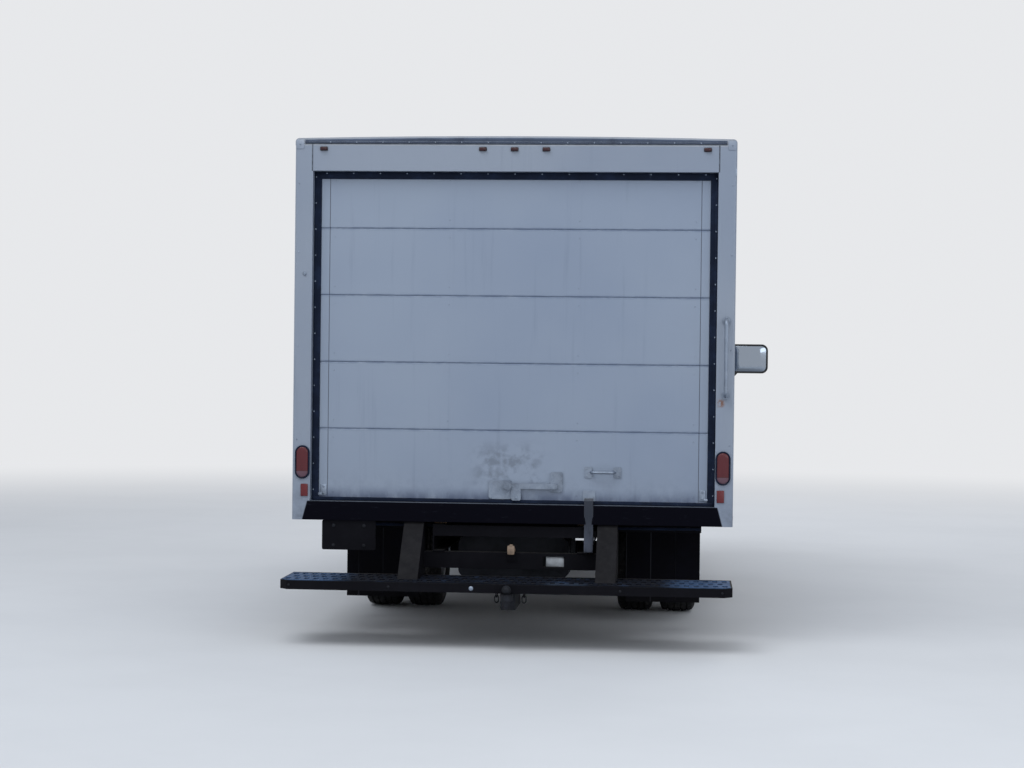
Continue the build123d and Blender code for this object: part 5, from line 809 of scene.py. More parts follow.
STRAP_X, STRAP_WIDTH, STRAP_LENGTH, STRAP_GAUGE = 0.430, 0.050, 0.345, 0.0016
STRAP_ROWS, STRAP_COLUMNS = 60, 10
OVER, OVER_DROP = 0.060, 0.010
RIPPLE, LEAN, CUP = 0.0018, 0.002, 0.0012
low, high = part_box("pull_strap")
strap_top, start_y, hang_y = high.z - 0.004, high.y - 0.006, low.y + 0.0012
bm = bmesh.new()
grid = []
for i in range(STRAP_ROWS + 1):
    s = STRAP_LENGTH * i / STRAP_ROWS
    if s < OVER:
        turn = s / OVER
        y = start_y + (hang_y - start_y) * turn
        z = strap_top - OVER_DROP * (1 - math.cos(math.pi * turn)) / 2
    else:
        down = s - OVER
        y = hang_y + RIPPLE * math.sin(9.0 * down) * min(1.0, down / 0.1)
        z = strap_top - OVER_DROP - down
    row = []
    for j in range(STRAP_COLUMNS + 1):
        across = j / STRAP_COLUMNS - 0.5
        cup = CUP * (4 * across * across) * math.sin(7.0 * s)
        x = STRAP_X + STRAP_WIDTH * across + LEAN * math.sin(4.5 * s)
        row.append(bm.verts.new((x, y + abs(cup), z)))
    grid.append(row)
for first, second in zip(grid, grid[1:]):
    for j in range(STRAP_COLUMNS):
        bm.faces.new((first[j], first[j + 1], second[j + 1], second[j]))
strap = piece("pull_strap_webbing", bm, webbing)
thick = strap.modifiers.new("thickness", "SOLIDIFY")
thick.thickness = STRAP_GAUGE
thick.offset = -1.0
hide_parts("pull_strap")

# ---------------------------------------------------------------- step

# Perforated tread: a thin plate whose staggered rows of slots have raised rims
CELL = 0.0508
TREAD_ROWS = 3
TREAD_HALF = STEP_HALF - 0.014
TREAD_FRONT, TREAD_BACK = REAR - 0.010, STEP_REAR + 0.012
TREAD_BASE, TREAD_TOP = STEP_TOP + 0.0003, STEP_TOP + 0.0035
TREAD_MIDDLE = (TREAD_BASE + TREAD_TOP) / 2
row_depth = (TREAD_FRONT - TREAD_BACK) / TREAD_ROWS
pitch = 2 * TREAD_HALF / round(2 * TREAD_HALF / CELL)
SLOT_OUTLINE = rounded(0.030, 0.078, 0.015, 3)
# Rings of a slot inside its cell: share of the outline, and height
SLOT_RINGS = ((1.0, TREAD_TOP + 0.0018), (0.955, TREAD_TOP + 0.0015), (0.946, TREAD_BASE))


def tread_cell(bm, x0, x1, y0, y1, hole):
    """One cell of the plate: a square of faces round an oval slot, or a plain face."""
    corners = [bm.verts.new((x, y, TREAD_TOP)) for x, y in ((x1, y1), (x0, y1), (x0, y0), (x1, y0))]
    if not hole:
        bm.faces.new(corners)
        return
    cx, cy = (x0 + x1) / 2, (y0 + y1) / 2
    ring = []
    for a, b in SLOT_OUTLINE:
        reach = min((x1 - x0) / 2 / max(abs(a), 1e-9), (y1 - y0) / 2 / max(abs(b), 1e-9))
        ring.append(bm.verts.new((cx + a * reach, cy + b * reach, TREAD_TOP)))
    loops = [ring]
    for share, z in SLOT_RINGS:
        loops.append([bm.verts.new((cx + a * share, cy + b * share, z)) for a, b in SLOT_OUTLINE])
    for first, second in zip(loops, loops[1:]):
        join(bm, first, second)
    steps = len(SLOT_OUTLINE) // 4
    for k, corner in enumerate(corners):
        run = ring[k * steps:(k + 1) * steps]
        for a, b in zip(run, run[1:]):
            if abs(a.co.x - b.co.x) > 1e-6 and abs(a.co.y - b.co.y) > 1e-6:
                bm.faces.new((a, corner, b))


bm = bmesh.new()
for row in range(TREAD_ROWS):
    y0 = TREAD_BACK + row * row_depth
    shift = 0.5 * (row % 2)
    for column in range(round(2 * TREAD_HALF / CELL) + 1):
        x0 = -TREAD_HALF + (column - shift) * pitch
        start, end = max(x0, -TREAD_HALF), min(x0 + pitch, TREAD_HALF)
        if end - start > 1e-4:
            tread_cell(bm, start, end, y0, y0 + row_depth, end - start > 0.9 * pitch)
bmesh.ops.remove_doubles(bm, verts=bm.verts, dist=1e-5)
for x in (-TREAD_HALF - 0.001, TREAD_HALF + 0.001):
    size = (0.005, TREAD_FRONT - TREAD_BACK + 0.004, 0.0042)
    block(bm, (x, (TREAD_BACK + TREAD_FRONT) / 2, TREAD_MIDDLE), size, 0.001, 0.0004)
for y in (TREAD_BACK - 0.001, TREAD_FRONT + 0.001):
    block(bm, (0, y, TREAD_MIDDLE), (2 * TREAD_HALF + 0.006, 0.005, 0.0042), 0.001, 0.0004)
# The plate follows the step's corners, which are cut at an angle
CORNER_CUT, CORNER_INSET, CUT_BEAD_HALF = 0.045, 0.010, 0.0285
for hand, _ in HANDS:
    away = Vector((hand, -1, 0)).normalized()
    on_cut = Vector((hand * (STEP_HALF - CORNER_CUT / 2), STEP_REAR + CORNER_CUT / 2, 0)) - away * CORNER_INSET
    everything = bm.verts[:] + bm.edges[:] + bm.faces[:]
    bmesh.ops.bisect_plane(bm, geom=everything, plane_co=on_cut, plane_no=away, clear_outer=True)
    along = Vector((hand, 1, 0)).normalized() * CUT_BEAD_HALF
    on_cut = on_cut + UP * TREAD_MIDDLE
    tube(bm, [on_cut - along, on_cut + along], 0.0025, 8)
piece("step_tread", bm, tread_steel)

for tag, size, finish, places in (
    ("bolts", 0.007, sooty_steel, (-1.16, -0.62, 0.62, 1.16)),
    ("middle_bolt", 0.013, galvanised, (-0.175,)),
):
    bm = bmesh.new()
    heads(bm, rivet, "step_bumper", places, (STEP_TOP - 0.024,), size)
    piece(f"step_{tag}", bm, finish)

# Trailer connector on the bar behind the step, and the steel seen through the bar's window
CONNECTOR_X, CONNECTOR_Z = 0.006, 0.505
WINDOW_X, WINDOW_Z, BAR_Z = 0.252, 0.443, 0.46
bar_y = from_behind("step_bumper", CONNECTOR_X, BAR_Z)[0].y
bm = bmesh.new()
block(bm, (CONNECTOR_X, bar_y - 0.003, CONNECTOR_Z - 0.020), (0.052, 0.006, 0.090), 0.006, 0.001)
piece("connector_plate", bm, chassis_black)
bm = bmesh.new()
socket = ((0, 0.022), (0.012, 0.023), (0.030, 0.020), (0.034, 0.017))
turned(bm, (CONNECTOR_X, bar_y - 0.005, CONNECTOR_Z), OUT, socket, 20)
block(bm, (CONNECTOR_X, bar_y - 0.041, CONNECTOR_Z + 0.002), (0.040, 0.006, 0.050), 0.008, 0.002)
block(bm, (CONNECTOR_X, bar_y - 0.030, CONNECTOR_Z + 0.028), (0.018, 0.030, 0.008), 0.003, 0.001)
piece("trailer_connector", bm, connector_tan)
bm = bmesh.new()
block(bm, (WINDOW_X, bar_y + 0.020, WINDOW_Z), (0.112, 0.003, 0.056), 0.003, 0.0008)
piece("bar_window_steel", bm, bare_steel)

# Chain links on both sides of the ball, and the ball's washer and nut
low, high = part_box("tow_hitch")
BALL_X, BALL_Y = (low.x + high.x) / 2, low.y + 0.030
LINK_PITCH, LINK_TOP, LINK_TURN = 0.030, 0.315, 0.3
bm = bmesh.new()
for hand in (1, -1):
    for k in range(3):
        turn = hand * LINK_TURN + (k % 2) * math.pi / 2
        centre = Vector((BALL_X + hand * 0.075, REAR - 0.160, LINK_TOP - LINK_PITCH * k))
        u = Vector((math.cos(turn), math.sin(turn), 0))
        closed_tube(bm, placed(rounded(0.022, 0.040, 0.011, 5), centre, u, UP), 0.0032, 7)
piece("safety_chains", bm, sooty_steel)
bm = bmesh.new()
under = surface("tow_hitch", (BALL_X, BALL_Y, low.z - 0.2), UP)[0]
turned(bm, under + Vector((0, 0, -0.0005)), -UP, ((0, 0.021), (0.004, 0.021)), 20)
turned(bm, under + Vector((0, 0, -0.004)), -UP, ((0, 0.0165), (0.014, 0.017), (0.016, 0.015)), 6)
piece("ball_nut", bm, sooty_steel)

# A black panel under the sill, standing in for shade there, and the lamp conduit
CONDUIT_Y, CONDUIT_END_Z, CONDUIT_Z, CLIPS_Z = REAR + 0.135, 0.630, 0.626, 0.628
bm = bmesh.new()
block(bm, (0, REAR + 0.150, SILL_BOTTOM - 0.010), (2.10, 0.006, 0.075), 0.003, 0.001, 1)
piece("shade_panel_under_sill", bm, chassis_black)
bm = bmesh.new()
run = ((-1.05, CONDUIT_END_Z), (-0.45, CONDUIT_Z), (0.45, CONDUIT_Z), (1.05, CONDUIT_END_Z))
tube(bm, [(x, CONDUIT_Y, z) for x, z in run], 0.009, 8)
for x in (-0.9, -0.55, 0.55, 0.9):
    turned(bm, (x - 0.006, CONDUIT_Y, CLIPS_Z), (1, 0, 0), ((0, 0.011), (0.012, 0.011)), 10)
piece("lamp_conduit", bm, rubber_seal)

# ---------------------------------------------------------------- wheels

GROOVES = ((-0.058, 0.0046), (-0.021, 0.0046), (0.021, 0.0046), (0.058, 0.0046))
GROOVE_DEPTH = 0.008


def tyre_profile():
    """Across the tyre: distance from its middle, radius, and how deep a cross slot cuts there."""
    half = [
        (0.0835, 0.2045, 0.0), (0.0870, 0.2130, 0.0), (0.0985, 0.2300, 0.0), (0.1010, 0.2330, 0.0),
        (0.1070, 0.2560, 0.0), (0.1110, 0.2820, 0.0), (0.1115, 0.2960, 0.0), (0.1104, 0.3040, 0.0),
        (0.1114, 0.3060, 0.0), (0.1100, 0.3160, 0.0), (0.1060, 0.3340, 0.0), (0.1030, 0.3430, 0.003),
        (0.0985, 0.3530, 0.006), (0.0930, 0.3610, 0.007), (0.0870, 0.3665, 0.007),
    ]
    tread = []
    for centre, width in GROOVES:
        rib = TYRE_RADIUS - 0.35 * centre * centre
        slot = 0.0025 if abs(centre) < 0.04 else 0.006
        tread += [
            (centre - width - 0.0012, rib, slot), (centre - width, rib - 0.0012, 0.0),
            (centre - width + 0.001, rib - GROOVE_DEPTH, 0.0),
            (centre + width - 0.001, rib - GROOVE_DEPTH, 0.0),
            (centre + width, rib - 0.0012, 0.0), (centre + width + 0.0012, rib, slot),
        ]
    left = [(-x, r, c) for x, r, c in half]
    return left + tread + half[::-1]


def tyre(bm, centre, steps=216):
    """A road tyre with four round grooves and cross slots, as one closed ring."""
    profile = tyre_profile()
    loops = []
    for i in range(steps):
        turn = 2 * math.pi * i / steps
        ring = []
        for x, r, cut in profile:
            offset = 2 if abs(x) < 0.05 else 0
            radius = r - (cut if (i + offset) % 4 == 0 else 0.0)
            point = (centre[0] + x, centre[1] + radius * math.sin(turn), centre[2] + radius * math.cos(turn))
            ring.append(bm.verts.new(point))
        loops.append(ring)
    for i in range(steps):
        join(bm, loops[i], loops[(i + 1) % steps])


for hand, side in HANDS:
    for name, wheel, solid, places, y in (
        ("front_tread", "wheel_front", "front_tyre", (FRONT_TRACK,), FRONT_AXLE),
        ("rear_treads", "wheels_rear", "rear_tyres", (REAR_INNER, REAR_OUTER), REAR_AXLE),
    ):
        bm = bmesh.new()
        for x in places:
            tyre(bm, (hand * x, y, TYRE_RADIUS))
        tread = piece(f"{name}_{side}", bm, tyre_rubber, f"{wheel}_{side}", 50.0)
        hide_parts(f"{solid}_{side}")

STUD_CIRCLE, STUDS, VALVE_CIRCLE = 0.087, 8, 0.155
# Profiles of a stud's washer, nut and end, and of a valve's cap: distance out of the disc and radius
NUT = (
    (14, ((0, 0.0155), (0.003, 0.0155), (0.005, 0.0125))),
    (6, ((0.004, 0.0125), (0.017, 0.0125), (0.020, 0.010))),
    (10, ((0.019, 0.0062), (0.028, 0.0062), (0.029, 0.005))),
)
VALVE_CAP = ((0, 0.006), (0.012, 0.006), (0.013, 0.005))
for hand, side in HANDS:
    for node, wheel, y in (
        (f"front_rim_{side}", f"wheel_front_{side}", FRONT_AXLE),
        (f"rear_rims_{side}", f"wheels_rear_{side}", REAR_AXLE),
    ):
        bm = bmesh.new()
        for k in range(STUDS):
            turn = 2 * math.pi * (k + 0.5) / STUDS
            along, up = STUD_CIRCLE * math.sin(turn), STUD_CIRCLE * math.cos(turn)
            found = from_side(node, hand, y + along, TYRE_RADIUS + up)
            if found:
                for sides, profile in NUT:
                    turned(bm, found[0], Vector((hand, 0, 0)), profile, sides)
        piece(f"{node}_nuts", bm, galvanised, wheel)
        bm = bmesh.new()
        foot = from_side(node, hand, y + VALVE_CIRCLE, TYRE_RADIUS)[0]
        bend = foot + Vector((hand * 0.022, 0.004, 0))
        tube(bm, [foot, bend, foot + Vector((hand * 0.040, 0.010, 0))], 0.0045, 8)
        turned(bm, foot + Vector((hand * 0.038, 0.0095, 0)), (hand, 0.25, 0), VALVE_CAP, 10)
        piece(f"{node}_valve", bm, rubber_seal, wheel)

# ---------------------------------------------------------------- box sides and roof

wall_low, wall_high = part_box("box_wall_right")
TOP_ROW, LOW_ROW = WALL_TOP - 0.055, SILL_BOTTOM + 0.068
SIDE_PITCH, POST_PITCH, POST_RIVET_PITCH, POST_RIVETS = 0.1016, 0.406, 0.108, 17
SKIN_DEPTH = 0.012
SIDE_MARKER_Z, SEAM_PROBE_Z = LOW_ROW - 0.030, 1.7
posts = int((wall_high.y - wall_low.y) / POST_PITCH)
for hand, side in HANDS:
    node, outward = f"box_wall_{side}", (hand, 0, 0)
    rows = []
    for i in range(int((wall_high.y - wall_low.y - 0.1) / SIDE_PITCH)):
        rows += [(wall_low.y + 0.06 + SIDE_PITCH * i, z, 0.0055) for z in (TOP_ROW, LOW_ROW)]
    for k in range(1, posts + 1):
        y = wall_low.y + POST_PITCH * k
        rows += [(y, SILL_BOTTOM + 0.17 + POST_RIVET_PITCH * j, 0.0048) for j in range(POST_RIVETS)]
    bm = bmesh.new()
    for y, z, size in rows:
        found = from_side(node, hand, y, z)
        if found and abs(found[0].x) > HALF_BODY - SKIN_DEPTH:
            rivet(bm, found[0], outward, size)
    piece(f"wall_rivets_{side}", bm, body_paint)
    bm = bmesh.new()
    for k in range(1, posts + 1, 3):
        y = wall_low.y + POST_PITCH * k + 0.012
        found = from_side(node, hand, y, SEAM_PROBE_Z)
        if found:
            centre = (found[0].x + hand * 0.0004, y, (WALL_TOP + SILL_BOTTOM) / 2 + 0.012)
            block(bm, centre, (0.0012, 0.004, WALL_TOP - SILL_BOTTOM - 0.27), 0.0005, 0.0002)
    piece(f"wall_seams_{side}", bm, sealant)
    for tag, y, finish in (("rear", wall_low.y + 0.10, red), ("front", wall_high.y - 0.16, amber)):
        face = from_side(node, hand, y, SIDE_MARKER_Z)[0].x
        depth = min(0.004, HALF_BODY + 0.006 - abs(face))
        bm = bmesh.new()
        block(bm, (face + hand * depth / 2, y, SIDE_MARKER_Z), (depth, 0.096, 0.030), 0.004, 0.0008, 0)
        piece(f"side_marker_{tag}_{side}", bm, finish)

bm = bmesh.new()
for x in (-1.06, -0.16, 0.0, 0.16, 1.06):
    foot = from_ahead("box_front_wall", x, WALL_TOP - 0.035)[0]
    rings = ((0, 0.0), (0, 0.010), (0.004, 0.014), (0.012, 0.016))
    outlines = [(rounded(0.060 - i, 0.026 - i, 0.010), foot + Vector((0, p, 0))) for i, p in rings]
    loft(bm, [placed(outline, centre, X_AXIS, UP) for outline, centre in outlines])
piece("front_marker_lamps", bm, amber)

# Pale strips over the roof bows
BOWS, BOW_HALF, BOW_LENGTH = 9, 0.022, 1.12
BOW_SECTION = ((-BOW_HALF, -0.001), (0.001 - BOW_HALF, 0.0008), (BOW_HALF - 0.001, 0.0008), (BOW_HALF, -0.001))
bm = bmesh.new()
for k in range(BOWS):
    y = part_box("box_roof")[0].y + 0.20 + POST_PITCH * k
    rings = []
    for i in range(21):
        x = BOW_LENGTH * (i / 10 - 1)
        found = from_above("box_roof", x, y)
        top = found[0].z if found else ROOF_TOP - 0.003
        rings.append([Vector((x, y + a, min(top + b, ROOF_TOP - 0.0001))) for a, b in BOW_SECTION])
    loft(bm, rings)
piece("roof_bow_strips", bm, roof_aluminium)

# ---------------------------------------------------------------- cab


def rim_of(node, outward):
    """The closed edge round a thin CAD pane, on its outer side, as a run of points."""
    mesh = nodes[node].data
    bm = bmesh.new()
    bm.from_mesh(mesh)
    bmesh.ops.remove_doubles(bm, verts=bm.verts, dist=1e-5)
    bm.normal_update()
    sharp = [
        e for e in bm.edges
        if len(e.link_faces) == 2
        and e.calc_face_angle(0) > math.radians(50)
        and any(f.normal.dot(outward) > 0.5 for f in e.link_faces)
    ]
    ahead = {}
    for e in sharp:
        for v, w in ((e.verts[0], e.verts[1]), (e.verts[1], e.verts[0])):
            ahead.setdefault(v, []).append(w)
    best = []
    seen = set()
    for start in ahead:
        run, here = [], start
        while here is not None and here not in seen:
            seen.add(here)
            run.append(here.co.copy())
            here = next((w for w in ahead[here] if w not in seen), None)
        best = max(best, run, key=len)
    bm.free()
    return best


for node, outward, body_name in (
    ("windscreen", Vector((0, 1, 0.4)).normalized(), "root"),
    ("door_glass_left", Vector((-1, 0, 0)), "cab_door_left"),
    ("door_glass_right", Vector((1, 0, 0)), "cab_door_right"),
):
    bm = bmesh.new()
    closed_tube(bm, [p + outward * 0.001 for p in rim_of(node, outward)], 0.0055, 6)
    piece(f"{node}_gasket", bm, rubber_seal, body_name, 80.0)

# Mirror glass, and a door handle: a recess plate with a bar and a lock
MIRROR_IN, MIRROR_BELOW_TOP = 0.145, 0.111
HANDLE_Y, HANDLE_Z = 1.165, 1.165
for hand, side in HANDS:
    low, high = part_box(f"mirror_{side}")
    x, z = hand * (max(abs(low.x), abs(high.x)) - MIRROR_IN), high.z - MIRROR_BELOW_TOP
    face = from_behind(f"mirror_{side}", x, z)[0].y
    outline = rounded(0.262, 0.194, 0.036, 5)
    rings = ((1.0, 0.0002), (1.0, 0.0016), (0.985, 0.0026), (0.55, 0.0032))
    bm = bmesh.new()
    loft(bm, [placed([(a * k, b * k) for a, b in outline], (x, face - d, z), X_AXIS, UP) for k, d in rings])
    piece(f"mirror_glass_{side}", bm, mirror_glass, body_of(nodes[f"mirror_{side}"])[0])

    x = from_side(f"cab_door_{side}", hand, HANDLE_Y, HANDLE_Z)[0].x
    grip = ((0, -0.070), (0.016, -0.055), (0.018, 0), (0.016, 0.055), (0, 0.070))
    bm = bmesh.new()
    block(bm, (x + hand * 0.0015, HANDLE_Y, HANDLE_Z), (0.005, 0.190, 0.062), 0.016, 0.0015, 0)
    tube(bm, [(x + hand * out, HANDLE_Y + along, HANDLE_Z + 0.006) for out, along in grip], 0.007, 10)
    lock = (x + hand * 0.003, HANDLE_Y - 0.082, HANDLE_Z)
    turned(bm, lock, (hand, 0, 0), ((0, 0.008), (0.004, 0.008), (0.005, 0.006)), 14)
    piece(f"cab_handle_{side}", bm, trim_plastic, f"cab_door_{side}")

# Wipers: arms from the cowl, blades lying on the screen
screen_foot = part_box("windscreen")[0].z
WIPER_LIFT = Vector((0, 0.014, 0.018)) * 1.3
BLADE_POINTS, BLADE_GAP = 9, 0.009


def on_screen(x, up):
    """The windscreen's face and normal at a height above its foot."""
    return from_ahead("windscreen", x, screen_foot + up)


bm = bmesh.new()
for foot_x, tip_x in ((-0.50, 0.02), (0.16, 0.68)):
    foot, middle = on_screen(foot_x, 0.035)[0], on_screen((foot_x + tip_x) / 2, 0.08)[0]
    tube(bm, [foot + Vector((0, 0.035, -0.030)), foot + WIPER_LIFT, middle + WIPER_LIFT], 0.006, 8)
    pivot = ((0, 0.014), (0.022, 0.014), (0.026, 0.010))
    turned(bm, foot + Vector((0, 0.036, -0.046)), UP, pivot, 14)
    blade = []
    for k in range(BLADE_POINTS):
        t = k / (BLADE_POINTS - 1)
        found = on_screen(foot_x + 0.06 + (tip_x - foot_x - 0.02) * t, 0.045 + 0.09 * t)
        if found:
            blade.append(found[0] + found[1] * BLADE_GAP * (1 if found[1].y > 0 else -1))
    tube(bm, blade, 0.0055, 6)
piece("wipers", bm, trim_plastic)

# Grille bars, lamp surrounds and bowls
low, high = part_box("grille")
BAR_PITCH = 0.032
bm = bmesh.new()
for i in range(int((high.x - low.x) / BAR_PITCH)):
    centre = (low.x + BAR_PITCH * (i + 0.7), low.y + 0.004, (low.z + high.z) / 2)
    block(bm, centre, (0.0045, 0.006, high.z - low.z - 0.02), 0.0015, 0.0005)
piece("grille_bars", bm, trim_plastic, body_of(nodes["grille"])[0])

LAMPS_X, LAMP_Z = (0.63, 0.755), 0.92
LAMP_RING = ((0.056, -0.002), (0.056, 0.001), (0.0545, 0.002), (0.051, 0.002), (0.050, 0.0008))
LAMP_BOWL = ((0.048, 0.0005), (0.044, 0.0022), (0.026, 0.0036), (0.010, 0.0040))
ring_bm, bowl_bm = bmesh.new(), bmesh.new()
for hand, _ in HANDS:
    for x in LAMPS_X:
        found = from_ahead("headlamps", hand * x, LAMP_Z)
        if found:
            for form, steps, rings in ((ring_bm, 28, LAMP_RING), (bowl_bm, 24, LAMP_BOWL)):
                centre = Vector((hand * x, found[0].y, LAMP_Z))
                loft(form, [placed(circle(r, steps), centre - OUT * d, X_AXIS, UP) for r, d in rings])
piece("headlamp_rings", ring_bm, bumper_chrome)
piece("headlamp_bowls", bowl_bm, clear)

# Screw heads along the fenders, and the cowl's air slots
FENDER_SCREW_X, FENDER_SCREW_REAR, FENDER_SCREW_PITCH = 0.80, 2.50, 0.10
bm = bmesh.new()
for hand, _ in HANDS:
    for k in range(6):
        y = FENDER_SCREW_REAR + FENDER_SCREW_PITCH * k
        found = from_above("front_fenders", hand * FENDER_SCREW_X, y)
        if found and found[0].z > 1.0:
            rivet(bm, found[0], found[1] if found[1].z > 0 else -found[1], 0.005)
piece("fender_screws", bm, galvanised)

COWL_SLOTS, COWL_HALF, COWL_Y = 28, 0.62, 2.352
bm = bmesh.new()
for k in range(COWL_SLOTS):
    x = -COWL_HALF + 2 * COWL_HALF * k / (COWL_SLOTS - 1)
    found = from_above("cab_shell", x, COWL_Y)
    if found and found[0].z > 1.2:
        block(bm, found[0] + Vector((0, 0, 0.0005)), (0.022, 0.012, 0.003), 0.004, 0.0006, 2)
piece("cowl_slots", bm, trim_plastic)

# ---------------------------------------------------------------- inside the cab

seat_low, seat_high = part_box("cab_seats")
SEAT_BODY = body_of(nodes["cab_seats"])[0]
SEAT_X = 0.43
SEAT_WIDTH, SEAT_DEPTH = 0.49, 0.52
SEAT_Y = seat_high.y - 0.02 - SEAT_DEPTH / 2
PAD_CUTS, WELT_POINTS = 14, 56


def cushion(name, centre, size, tilt, crown):
    """A crowned pad: its sides pull in between the corners, with sewn channels across its face."""
    bm = bmesh.new()
    half = [s / 2 for s in size]
    grid_points = {}

    def shape(u, v, w):
        """Cube coordinates from -1 to 1 to a crowned pad."""
        swell = (1 - u * u) * (1 - v * v)
        edge = 1 - 0.045 * (1 - u * u) * abs(v) ** 6 - 0.02 * abs(u * v) ** 6
        channel = 0.0 if w < 0 else -0.006 * math.exp(-((abs(u) - 0.55) / 0.05) ** 2) * swell
        x = half[0] * u * (1 - 0.03 * abs(u) ** 6 * (1 - v * v)) * (1 - 0.06 * abs(w) ** 4)
        y = half[1] * v * edge * (1 - 0.06 * abs(w) ** 4)
        return Vector((x, y, half[2] * w + (crown * swell * w + channel)))

    def vertex(u, v, w):
        key = (round(u, 5), round(v, 5), round(w, 5))
        if key not in grid_points:
            grid_points[key] = bm.verts.new(shape(u, v, w))
        return grid_points[key]

    steps = [2 * i / PAD_CUTS - 1 for i in range(PAD_CUTS + 1)]
    for p, q in zip(steps, steps[1:]):
        for r, s in zip(steps, steps[1:]):
            cell = ((p, r), (q, r), (q, s), (p, s))
            for fixed in (-1, 1):
                bm.faces.new([vertex(a, b, fixed) for a, b in cell])
                bm.faces.new([vertex(a, fixed, b) for a, b in cell])
                bm.faces.new([vertex(fixed, a, b) for a, b in cell])
    place = Matrix.Translation(centre) @ Matrix.Rotation(tilt, 4, "X")
    bmesh.ops.transform(bm, matrix=place, verts=bm.verts)
    pad = piece(name, bm, seat_fabric, SEAT_BODY, 70.0)
    round_off = pad.modifiers.new("round", "SUBSURF")
    round_off.levels = round_off.render_levels = 1
    welt = bmesh.new()
    outline = []
    for i in range(WELT_POINTS):
        turn = 2 * math.pi * i / WELT_POINTS
        c, s = math.cos(turn), math.sin(turn)
        u = math.copysign(abs(c) ** 0.35, c)
        v = math.copysign(abs(s) ** 0.35, s)
        outline.append(place @ Vector((half[0] * 0.955 * u, half[1] * 0.945 * v, half[2] * 0.93)))
    closed_tube(welt, outline, 0.0035, 6)
    piece(f"{name}_piping", welt, piping, SEAT_BODY, 80.0)
    return pad


BACK_TILT, HEAD_TILT = math.radians(79), math.radians(83)
for hand, side in HANDS:
    x = hand * SEAT_X
    for tag, y, up, size, tilt, crown in (
        ("cushion", SEAT_Y - 0.02, 0.295, (SEAT_WIDTH, SEAT_DEPTH, 0.13), math.radians(4), 0.018),
        ("back", seat_low.y + 0.125, 0.595, (SEAT_WIDTH - 0.02, 0.56, 0.12), BACK_TILT, 0.016),
        ("head", seat_low.y + 0.080, 0.895, (0.27, 0.16, 0.10), HEAD_TILT, 0.012),
    ):
        pad = cushion(f"seat_{tag}_{side}", (x, y, seat_low.z + up), size, tilt, crown)
        if tag == "cushion" and side == "left":
            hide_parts("cab_seats")
    bm = bmesh.new()
    block(bm, (x, SEAT_Y - 0.03, seat_low.z + 0.115), (0.36, 0.40, 0.228), 0.02, 0.004, 2)
    for dx in (-0.07, 0.07):
        stem = ((seat_low.y + 0.100, seat_low.z + 0.80), (seat_low.y + 0.088, seat_low.z + 0.88))
        tube(bm, [(x + dx, y, z) for y, z in stem], 0.006)
    piece(f"seat_base_{side}", bm, trim_plastic, SEAT_BODY)

# Gauges, vents and knobs on the dashboard
DASH_BODY = body_of(nodes["dashboard"])[0]
GAUGES = ((-0.50, 1.19, 0.045), (-0.37, 1.19, 0.045), (-0.435, 1.115, 0.02))
VENTS_X, VENT_TOP, VENT_PITCH = (-0.80, -0.12, 0.12, 0.80), 1.205, 0.012
KNOBS_X, KNOB_Z = (-0.05, 0.0, 0.05), 1.09


def on_dash(x, z):
    """The dashboard's rear face at a place, or None past its edge."""
    found = from_behind("dashboard", x, z)
    return found[0] if found and found[0].y < 2.2 else None


bm, dials = bmesh.new(), bmesh.new()
for x, z, r in GAUGES:
    face = on_dash(x, z)
    if face:
        turned(bm, face + OUT * 0.002, OUT, ((0, r), (0.006, r), (0.008, r - 0.003), (0.004, r - 0.006)), 28)
        turned(dials, face + OUT * 0.0005, OUT, ((0, r - 0.007), (0.004, r - 0.008)), 28)
for x in VENTS_X:
    for k in range(5):
        face = on_dash(x, VENT_TOP - VENT_PITCH * k)
        if face:
            block(bm, face + OUT * 0.002, (0.10, 0.006, 0.004), 0.001, 0.0005)
for x in KNOBS_X:
    face = on_dash(x, KNOB_Z)
    if face:
        turned(bm, face, OUT, ((0, 0.014), (0.012, 0.013), (0.014, 0.010)), 16)
piece("dash_trim", bm, trim_plastic, DASH_BODY)
piece("dash_dials", dials, clear, DASH_BODY)

# ---------------------------------------------------------------- underside

# The springs' U-bolts, the tank's plugs, the rails' bolts and the flaps' bolts
SPRING_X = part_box("frame_ladder")[1].x + 0.044
SPRING_OUTER, BOLT_FOOT, BOLT_HEAD = 0.540, 0.300, 0.485
bm = bmesh.new()
for hand, _ in HANDS:
    for dy in (-0.062, 0.062):
        for dx in (-0.040, 0.040):
            x, y = hand * SPRING_X + dx, REAR_AXLE + dy
            if abs(x) <= SPRING_OUTER:
                tube(bm, [(x, y, BOLT_FOOT), (x, y, BOLT_HEAD)], 0.0075, 8)
                turned(bm, (x, y, BOLT_FOOT), -UP, ((0, 0.014), (0.012, 0.014), (0.014, 0.011)), 6)
piece("rear_u_bolts", bm, bare_steel)

low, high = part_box("fuel_tank")
bm = bmesh.new()
for y in (low.y + 0.17, high.y - 0.17):
    turned(bm, (0.0, y, low.z), -UP, ((-0.002, 0.020), (0.004, 0.019)), 12)
piece("tank_drain_plugs", bm, bare_steel)

RAIL_Z, RAIL_BOLTS, RAIL_BOLT_REAR, RAIL_BOLT_PITCH = 0.565, 6, -2.2, 0.62
bm = bmesh.new()
for k in range(RAIL_BOLTS):
    for hand, _ in HANDS:
        y = RAIL_BOLT_REAR + RAIL_BOLT_PITCH * k
        found = from_side("frame_ladder", hand, y, RAIL_Z)
        if found:
            for dz in (-0.035, 0.035):
                bolt(bm, found[0] + Vector((0, 0, dz)), (hand, 0, 0), 0.009)
piece("frame_bolts", bm, bare_steel)

